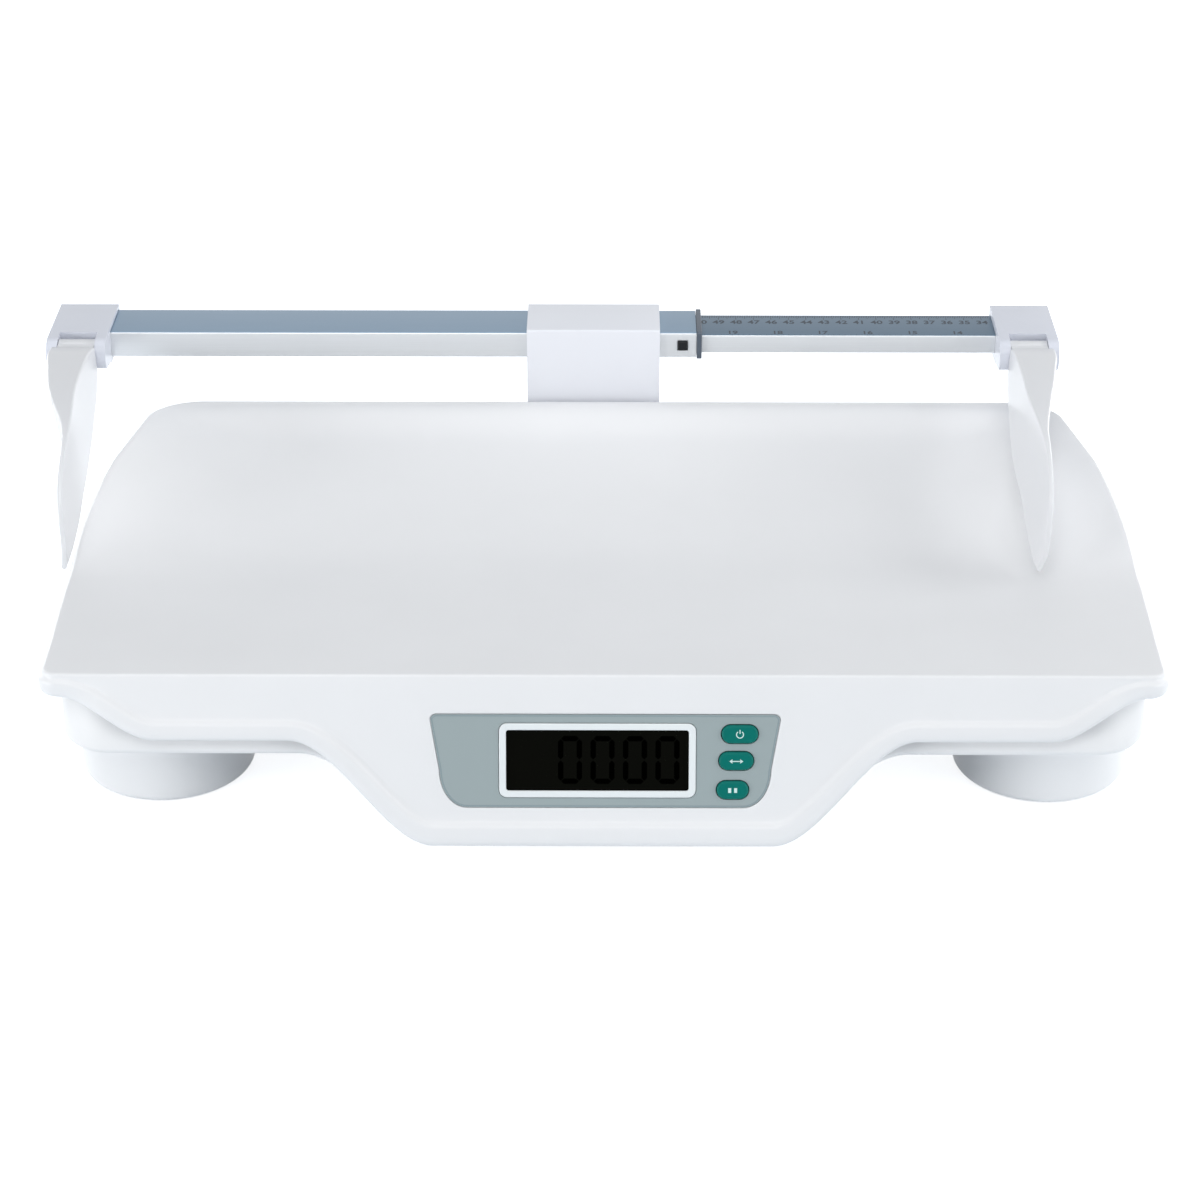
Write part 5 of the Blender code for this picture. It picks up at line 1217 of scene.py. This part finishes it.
# The outer tube's upward faces take the painted top shade.
bind(two_tone(outer, painted_top_shade), "scale_body", "anodised_tube", "outer_tube")
# The inner tube's top takes the ruler's ground together with the painted top shade.
inner = two_tone(tube("inner_slide", INNER_TUBE, INNER_ENDS), ruler_ground_and_top_shade)
bind(inner, "rod_slide", "ruler_tube", "inner_tube")
print("tubes:", outer.name, inner.name)

# %% The bush and the lock button
BUSH_ENDS, BUSH_MORE, BUSH_ROUND = (0.0519, 0.0547), 0.0016, 0.0016
BORE_MORE, BORE_ROUND = 0.0008, 0.0006
LOCK_HALF, LOCK_DEPTHS = 0.0028, (-0.0014, 0.0009)
BUSH_SOFT, LOCK_SOFT = 0.0004, 0.0007

bush_loops = [rounded(OUTER_TUBE[0] + BUSH_MORE, OUTER_TUBE[1] + BUSH_MORE, BUSH_ROUND),
              rounded(INNER_TUBE[0] + BORE_MORE, INNER_TUBE[1] + BORE_MORE, BORE_ROUND)]
bush = plate("slide_bush", bush_loops, *BUSH_ENDS, bush_plastic, rod_place)
bind(soften(bush, BUSH_SOFT, 2), "scale_body", "dark_plastic", "end_bush")
lock = lock_block("lock_cap", LOCK_HALF, LOCK_DEPTHS)
bind(soften(lock, LOCK_SOFT, 3), "rod_lock", "dark_plastic", "lock_button")
print("on the rod:", bush.name, lock.name)

# %% [markdown]
# ## The ruler
#
# The ruler is printed on top of the inner tube. It is read at the bush's edge and says how far
# apart the paddles are, so its numbers fall from left to right. Millimetre marks and centimetre
# numbers fill the back half, and inch numbers stand near the front edge. An image could hold them
# all, but very thin prisms stay sharp: the marks are arrays of rectangles, and each number is text
# that becomes a mesh once and is then placed as points.

# %% Places on the ruler
READING_AT_BUSH, INCH = 0.50, 0.0254
RULER_TOP, RULER_MARGIN = INNER_TUBE[1] / 2, 0.0012
BACK_EDGE, FRONT_EDGE = INNER_TUBE[0] / 2 - RULER_MARGIN, -INNER_TUBE[0] / 2 + RULER_MARGIN
PRINT_THICK, PRINT_BOLD = 0.00004, 0.022


def along_rod(reading):
    """Where a reading is on the inner tube, with the paddles as the model has them."""
    return BUSH_ENDS[1] + READING_AT_BUSH - reading


def ruler_place(points):
    """(along, behind, height above the tube's top) to the tray's axes."""
    x, y, z = np.asarray(points, float).T
    return np.stack([x, y + ROD_Y, z + ROD_Z + RULER_TOP], -1)


print("the reading 0.40 m is at x =", round(along_rod(0.40), 4))

# %% Millimetre marks
MILLIMETRES = np.arange(336, 616)
TEN_LENGTH, FIVE_LENGTH, ONE_LENGTH, MARK_WIDTH = 0.0060, 0.0045, 0.0032, 0.00036


def ruler_marks(name, readings, lengths, edge, width):
    """One upright rectangle per reading, from an edge of the ruler toward the front."""
    x, low = along_rod(readings), edge - lengths
    high = np.full(len(x), edge)
    corners = ((x - width / 2, low), (x + width / 2, low), (x + width / 2, high), (x - width / 2, high))
    outlines = np.stack([np.stack(corner, -1) for corner in corners], 1)
    made = flat_marks(name, outlines, -MARK_SINK, PRINT_THICK, ruler_print, ruler_place)
    return bind(made, "rod_slide", "ruler_tube")


metric = np.where(MILLIMETRES % 5 == 0, FIVE_LENGTH, ONE_LENGTH)
metric[MILLIMETRES % 10 == 0] = TEN_LENGTH
ruler_marks("ruler_millimetres", MILLIMETRES / 1000, metric, BACK_EDGE, MARK_WIDTH)
print("millimetre marks:", len(MILLIMETRES))

# %% Numbers and inch marks
CENTIMETRES, CENTIMETRE_SIZE, CENTIMETRE_Y = np.arange(34, 62), 0.0068, BACK_EDGE - 0.0096
INCHES, INCH_SIZE, INCH_Y = np.arange(14, 25), 0.0062, FRONT_EDGE + 0.0028
EIGHTHS = np.arange(14 * 8 - 6, 24 * 8 + 1)
INCH_LENGTH, EIGHTH_LENGTH, EIGHTH_WIDTH = 0.0012, 0.0008, 0.0002


def text_shape(body, size):
    """One piece of text as points and faces, centred on its own middle."""
    curve = bpy.data.curves.new("text", "FONT")
    curve.body, curve.size, curve.align_x = body, size, "CENTER"
    curve.extrude, curve.offset = PRINT_THICK / 2, size * PRINT_BOLD
    holder = bpy.data.objects.new("text", curve)
    bpy.context.scene.collection.objects.link(holder)
    graph = bpy.context.evaluated_depsgraph_get()
    mesh = bpy.data.meshes.new_from_object(holder.evaluated_get(graph))
    points = np.empty(len(mesh.vertices) * 3)
    mesh.vertices.foreach_get("co", points)
    points = points.reshape(-1, 3)
    points[:, 1] -= (points[:, 1].min() + points[:, 1].max()) / 2
    faces = [list(face.vertices) for face in mesh.polygons]
    bpy.data.objects.remove(holder)
    bpy.data.curves.remove(curve)
    bpy.data.meshes.remove(mesh)
    return points, faces


def number_row(name, values, readings, size, behind):
    """A row of numbers along the tube as one mesh."""
    points, faces, start = [], [], 0
    for value, reading in zip(values, readings):
        shape, sides = text_shape(str(value), size)
        points.append(shape + [along_rod(reading), behind, PRINT_THICK / 2])
        faces += [[start + k for k in side] for side in sides]
        start += len(shape)
    made = to_object(name, ruler_place(np.concatenate(points)), faces, ruler_print)
    return bind(made, "rod_slide", "ruler_tube")


number_row("ruler_centimetres", CENTIMETRES, CENTIMETRES / 100, CENTIMETRE_SIZE, CENTIMETRE_Y)
number_row("ruler_inches", INCHES, INCHES * INCH, INCH_SIZE, INCH_Y)
imperial = np.where(EIGHTHS % 8 == 0, INCH_LENGTH, EIGHTH_LENGTH)
ruler_marks("ruler_eighths", EIGHTHS * INCH / 8, imperial, FRONT_EDGE, EIGHTH_WIDTH)
print("numbers:", len(CENTIMETRES), "in centimetres,", len(INCHES), "in inches")

# %% [markdown]
# ## Hubs
#
# A hub holds the end of its tube and reaches forward to the paddle's pin between two round cheeks.
# It is an outline seen along the rod, given its width, softened, and then hollowed with exact
# Booleans: a socket for the tube, a round room for the barrel, a mouth that is open in front and
# closes over the barrel just behind the paddle's neck, and the pin's bore.

# %% The hubs' outline
HUB_WIDTH, HUB_WALL, HUB_CHEEK, HUB_END_WALL, HUB_EDGE = 0.0330, 0.0025, 0.0060, 0.0040, 0.0016
CHIN_ROUND, NOSE_ENDS, CHIN_ENDS = 0.0030, (90, 232), (215, 270)
CHEEK_RADIUS, BARREL_RADIUS, PIN_RADIUS, CLEARANCE = 0.0092, 0.0075, 0.0020, 0.0003
PIVOT_AHEAD = 0.0105
PIVOT = (-OUTER_TUBE[0] / 2 - HUB_WALL - CLEARANCE - PIVOT_AHEAD, OUTER_TUBE[1] / 2 + HUB_WALL - CHEEK_RADIUS)
PIN_CENTRE = (0.0, ROD_Y + PIVOT[0], ROD_Z + PIVOT[1])


def hub_outline():
    """From the upper back edge over the top to the round nose about the pin, under it to the chin,
    and back along the bottom."""
    back, half = OUTER_TUBE[0] / 2 + HUB_WALL + CLEARANCE, OUTER_TUBE[1] / 2 + HUB_WALL
    nose = arc(PIVOT, CHEEK_RADIUS, *NOSE_ENDS, 22)
    chin = arc((-back + HUB_EDGE, -half + CHIN_ROUND), CHIN_ROUND, *CHIN_ENDS, 5)
    return np.concatenate([arc((back - HUB_EDGE, half - HUB_EDGE), HUB_EDGE, 0, 90, 5), nose, chin,
                           arc((back - HUB_EDGE, -half + HUB_EDGE), HUB_EDGE, 270, 360, 5)])


def prism(name, outline, ends, surface=black_plastic):
    """An outline seen along the rod, between two places along it."""
    return plate(name, [np.asarray(outline)], *sorted(ends), surface, rod_place)


print("the hub's depth and height:", np.ptp(hub_outline(), axis=0).round(4).tolist())

# %% The two hubs and their pins
HUBS = {"left": (-0.2790, -1, OUTER_TUBE, "scale_body", "left_paddle"),
        "right": (0.2205, 1, INNER_TUBE, "rod_slide", "right_paddle")}
NECK_REACH, NECK_HALF = 0.0125, 0.0066
MOUTH_MORE, SOCKET_ROUND, SOCKET_PAST = 0.02, 0.001, 0.005
BORE_END, PIN_END, HUB_SOFT, PIN_SOFT = 0.002, 0.0023, 0.0011, 0.0003

for side, (face_x, away, size, body, _) in HUBS.items():
    y, z = PIVOT
    far = face_x + away * HUB_WIDTH
    hub = soften(prism(side + "_hub", hub_outline(), (face_x, far), hub_plastic), HUB_SOFT, 3)
    cheeks = (face_x + away * HUB_CHEEK, far - away * HUB_CHEEK)
    back, front = y + NECK_HALF + 2 * CLEARANCE, y - MOUTH_MORE
    mouth = [(front, z - MOUTH_MORE), (y, z - MOUTH_MORE), (y, z), (back, z), (back, z + MOUTH_MORE),
             (front, z + MOUTH_MORE)]
    tube_room = rounded(size[0] + 2 * CLEARANCE, size[1] + 2 * CLEARANCE, SOCKET_ROUND)
    bore = (face_x + away * BORE_END, far - away * BORE_END)
    cutters = [
        prism("socket_cut", tube_room, (face_x - away * SOCKET_PAST, far - away * HUB_END_WALL)),
        bar("room_cut", BARREL_RADIUS + 2 * CLEARANCE, cheeks, PIN_CENTRE, 0, around=64),
        prism("mouth_cut", mouth, cheeks),
        bar("bore_cut", PIN_RADIUS + CLEARANCE, bore, PIN_CENTRE, 0),
    ]
    bind(carve(hub, cutters), body, "hub_plastic", "hub_" + side)
    pin_ends = (face_x + away * PIN_END, far - away * PIN_END)
    pin = bar(side + "_pin", PIN_RADIUS, pin_ends, PIN_CENTRE, 0, zinc_steel)
    bind(soften(pin, PIN_SOFT, 2), body, "zinc_steel", "paddle_pin_" + side)
print("hub faces:", len(hub.data.polygons))

# %% [markdown]
# ## Paddles
#
# A paddle starts as a thick root round its pin and thins to a flat measuring blade that reaches
# forward over the tray and leans outward at its top edge. A few stations say how high and how
# thick it is; a smooth curve through them gives eighty leaning four-sided sections with round
# corners, which are joined by faces. A square neck and the round barrel are united with the root.

# %% The paddles' sections
PADDLE_REACH, PADDLE_FALL = 0.1630, 0.0530
PADDLE_STATIONS = np.array([
    (0.060, 0.139, -0.180, 5.4, 4.6, 30.2), (0.156, 0.186, -0.306, 6.0, 3.2, 29.2),
    (0.260, 0.194, -0.400, 6.5, 2.2, 26.6), (0.377, 0.190, -0.510, 6.5, 1.2, 23.4),
    (0.506, 0.165, -0.592, 6.2, 0.4, 18.6), (0.600, 0.130, -0.640, 6.2, 0.2, 14.4),
    (0.680, 0.090, -0.680, 6.5, 0.2, 11.4), (0.792, 0.000, -0.796, 6.9, 0.4, 9.9),
    (0.896, -0.163, -0.908, 6.6, 1.2, 9.5), (0.961, -0.408, -0.959, 5.8, 2.0, 8.7),
    (1.000, -0.816, -1.000, 4.3, 3.0, 7.0),
])
LEAN_TOP, LEAN_LOW, LEAN_SHARES = 0.0040, 0.0016, (0.40, 0.80)
SECTIONS, BLADE_ROUND, BLADE_ROUND_SHARE = 80, 0.0014, 0.4


def smooth_table(table, count):
    """A curve through each column of a table at count even steps (Catmull-Rom: between two rows it
    leaves each of them with half the difference of its neighbours as its slope)."""
    padded = np.concatenate([2 * table[:1] - table[1:2], table, 2 * table[-1:] - table[-2:-1]])
    place = np.linspace(0.0, len(table) - 1.0, count)
    cell = np.minimum(place.astype(int), len(table) - 2)
    t = (place - cell)[:, None]
    a, b, c, d = (padded[cell + k] for k in range(4))
    square, cube = (2 * a - 5 * b + 4 * c - d) * t ** 2, (3 * b - a - 3 * c + d) * t ** 3
    return 0.5 * (2 * b + (c - a) * t + square + cube)


def paddle_sections(face_x, away):
    """Leaning four-sided sections. A station gives its reach, its top and its bottom as shares, then,
    in millimetres from the hub's inner face, its inner side above and below, and its outer side."""
    reach, top, low, inner, inner_low, outer = smooth_table(PADDLE_STATIONS, SECTIONS).T
    lean = away * ease(*LEAN_SHARES, reach)
    reach, top, low = PADDLE_REACH * reach, PADDLE_FALL * top, PADDLE_FALL * low
    thick = (outer - inner) / 1000
    inner, inner_low = inner / 1000 + LEAN_TOP * lean, inner_low / 1000 + LEAN_LOW * lean
    sections = []
    for k in range(SECTIONS):
        corners = [(inner_low[k], low[k]), (inner_low[k] + thick[k], low[k]), (inner[k] + thick[k], top[k]),
                   (inner[k], top[k])]
        least = min(thick[k], top[k] - low[k])
        line = round_corners(corners, min(BLADE_ROUND, least * BLADE_ROUND_SHARE))
        ahead = np.full(len(line), PIN_CENTRE[1] - reach[k])
        sections.append(np.c_[face_x + away * line[:, 0], ahead, PIN_CENTRE[2] + line[:, 1]])
    return np.stack(sections)


print("a paddle's sections and their points:", paddle_sections(0.0, 1).shape[:2])

# %% The two paddles
BLADE_SOFT, BORE_PAST = 0.0009, 0.004

for side, (face_x, away, _, _, body) in HUBS.items():
    ends = (face_x + away * (HUB_CHEEK + CLEARANCE), face_x + away * (HUB_WIDTH - HUB_CHEEK - CLEARANCE))
    blade = sweep(side + "_blade", paddle_sections(face_x, away), paddle_plastic)
    soften(blade, BLADE_SOFT, 3, BLUNT)
    low, high = sorted(ends)
    neck = block("neck", (low, PIN_CENTRE[1] - NECK_REACH, PIN_CENTRE[2] - NECK_HALF),
                 (high, PIN_CENTRE[1], PIN_CENTRE[2] + NECK_HALF), paddle_plastic)
    carve(neck, [bar("barrel", BARREL_RADIUS, ends, PIN_CENTRE, 0, paddle_plastic, 64)], "UNION")
    carve(blade, [neck], "UNION")
    bore = bar("pin_cut", PIN_RADIUS + CLEARANCE, (low - BORE_PAST, high + BORE_PAST), PIN_CENTRE, 0)
    bind(carve(blade, [bore]), body, "paddle_plastic", "paddle_" + side)
print("paddle faces:", len(blade.data.polygons))

# %% [markdown]
# ## The bracket
#
# One bracket carries the rod. Seen along the rod it is a sleeve with a leg that comes down behind
# the tray's rim and ends in a flat foot, which two screws hold to the back of the base.

# %% The bracket
BRACKET_WIDTH, BRACKET_WALL, BRACKET_LEG, BRACKET_ROUND = 0.0750, 0.0028, 0.0126, 0.0012
BRACKET_FOOT, FOOT_SLOPE, SLEEVE_DROP = (0.0530, 0.0930), 0.0035, 0.0230
SLEEVE_ROUND, SLEEVE_PAST, LEG_CUT = 0.0012, 0.005, (-0.006, 0.030)
BRACKET_SOFT = 0.0016


def bracket_outline():
    """The sleeve's front and top, the leg's slope in to the base, its foot, and up the back."""
    front, back = -OUTER_TUBE[0] / 2 - BRACKET_WALL, OUTER_TUBE[0] / 2 + BRACKET_WALL
    half = OUTER_TUBE[1] / 2 + BRACKET_WALL
    base = BACK_Y + CLEARANCE - ROD_Y
    low, high = BRACKET_FOOT[0] - ROD_Z, BRACKET_FOOT[1] - ROD_Z
    return round_corners([
        (front, half), (front, BRACKET_FOOT[1] + FOOT_SLOPE - ROD_Z), (base, high), (base, low),
        (front + BRACKET_LEG, low), (front + BRACKET_LEG, -half - SLEEVE_DROP), (back, -half), (back, half),
    ], BRACKET_ROUND)


sides = (BRACKET_X - BRACKET_WIDTH / 2, BRACKET_X + BRACKET_WIDTH / 2)
bracket = soften(prism("rod_carrier", bracket_outline(), sides, bracket_plastic), BRACKET_SOFT, 4, BLUNT)
sleeve = rounded(OUTER_TUBE[0] + 2 * CLEARANCE, OUTER_TUBE[1] + 2 * CLEARANCE, SLEEVE_ROUND)
cutters = [prism("sleeve_cut", sleeve, (sides[0] - SLEEVE_PAST, sides[1] + SLEEVE_PAST))]
for side in (-1, 1):
    centre = (BRACKET_X + side * BRACKET_SCREW_X, BACK_Y, BRACKET_SCREW_Z)
    cutters.append(bar("leg_cut", BRACKET_HOLE, LEG_CUT, centre, 1))
bind(carve(bracket, cutters), "scale_body", "hub_plastic", "rod_bracket")
print("bracket faces:", len(bracket.data.polygons))

# %% [markdown]
# ## What hides inside and underneath
#
# The screws, load cells, circuit board, battery box and cells are the model's own pieces: few
# people ever see them, so they only take a finish. The battery door and the adaptor socket can be
# seen from below and behind, and they are drawn again with soft edges.

# %% Battery door
DOOR_GAP, DOOR_THICK, DOOR_ROUND = 0.0003, 0.0020, 0.0012
DOOR_SIZE = (BAY_SIZE[0] - 2 * DOOR_GAP, BAY_SIZE[1] - 2 * DOOR_GAP)
GROOVES, GROOVE_PITCH, GROOVE_HALF, GROOVE_IN = range(-2, 3), 0.0024, (0.0005, 0.008), 0.008
GROOVE_HEIGHTS, DOOR_SOFT, GROOVE_SOFT = (-0.003, 0.0008), 0.0004, 0.00012


def flat_place(points):
    """Points that are in the tray's axes already stay as they are."""
    return points


door = plate("bay_door", [rounded(*DOOR_SIZE, DOOR_ROUND, BAY_CENTRE)], BASE_Z, BASE_Z + DOOR_THICK,
             base_plastic, flat_place)
x, y = BAY_CENTRE
wide, deep = GROOVE_HALF
low, high = (BASE_Z + level for level in GROOVE_HEIGHTS)
grooves = []
for number in GROOVES:
    start = x + DOOR_SIZE[0] / 2 - GROOVE_IN + number * GROOVE_PITCH
    grooves.append(block("groove_cut", (start - wide, y - deep, low), (start + wide, y + deep, high)))
door = carve(soften(door, DOOR_SOFT, 2), grooves)
bind(soften(door, GROOVE_SOFT, 2), "battery_cover", "base_plastic", "battery_door")
print("door:", [round(size * 1000, 1) for size in DOOR_SIZE], "mm")

# %% Adaptor socket
BODY_RADIUS, BODY_ENDS = 0.0055, (-0.0110, 0.0016)
FLANGE_RADIUS, FLANGE_ENDS = 0.0080, (0.0003, 0.0016)
HOLE_RADIUS, HOLE_ENDS = 0.0028, (-0.0081, 0.01)
CONTACT_RADIUS, CONTACT_ENDS, SOCKET_SOFT = 0.0009, (-0.0092, -0.0014), 0.0004

socket = bar("socket_body", BODY_RADIUS, BODY_ENDS, SOCKET, 1)
flange = soften(bar("socket_rim", FLANGE_RADIUS, FLANGE_ENDS, SOCKET, 1, around=64), SOCKET_SOFT, 3)
carve(socket, [flange], "UNION")
carve(socket, [bar("socket_bore", HOLE_RADIUS, HOLE_ENDS, SOCKET, 1)])
bind(socket, "scale_body", "dark_plastic", "adaptor_socket")
contact = bar("socket_pin", CONTACT_RADIUS, CONTACT_ENDS, SOCKET, 1, zinc_steel, 24)
bind(soften(contact, SOCKET_SOFT, 3), "scale_body", "dark_plastic")
print("socket faces:", len(socket.data.polygons))

# %% Finishes for the model's own pieces
INNER_FINISHES = {
    "cover_screw": zinc_steel, "bracket_screw": zinc_steel, "load_cell": cell_steel,
    "display_module": black_plastic, "main_board": board_green, "battery_box": black_plastic,
    "battery_": cell_jacket,
}
dressed = []
for name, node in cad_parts.items():
    for start, surface in INNER_FINISHES.items():
        if name.startswith(start) and name != "battery_door":
            node.data.materials.clear()
            node.data.materials.append(surface)
            dressed.append(name)
            break
print("model pieces with a finish of their own:", len(dressed))
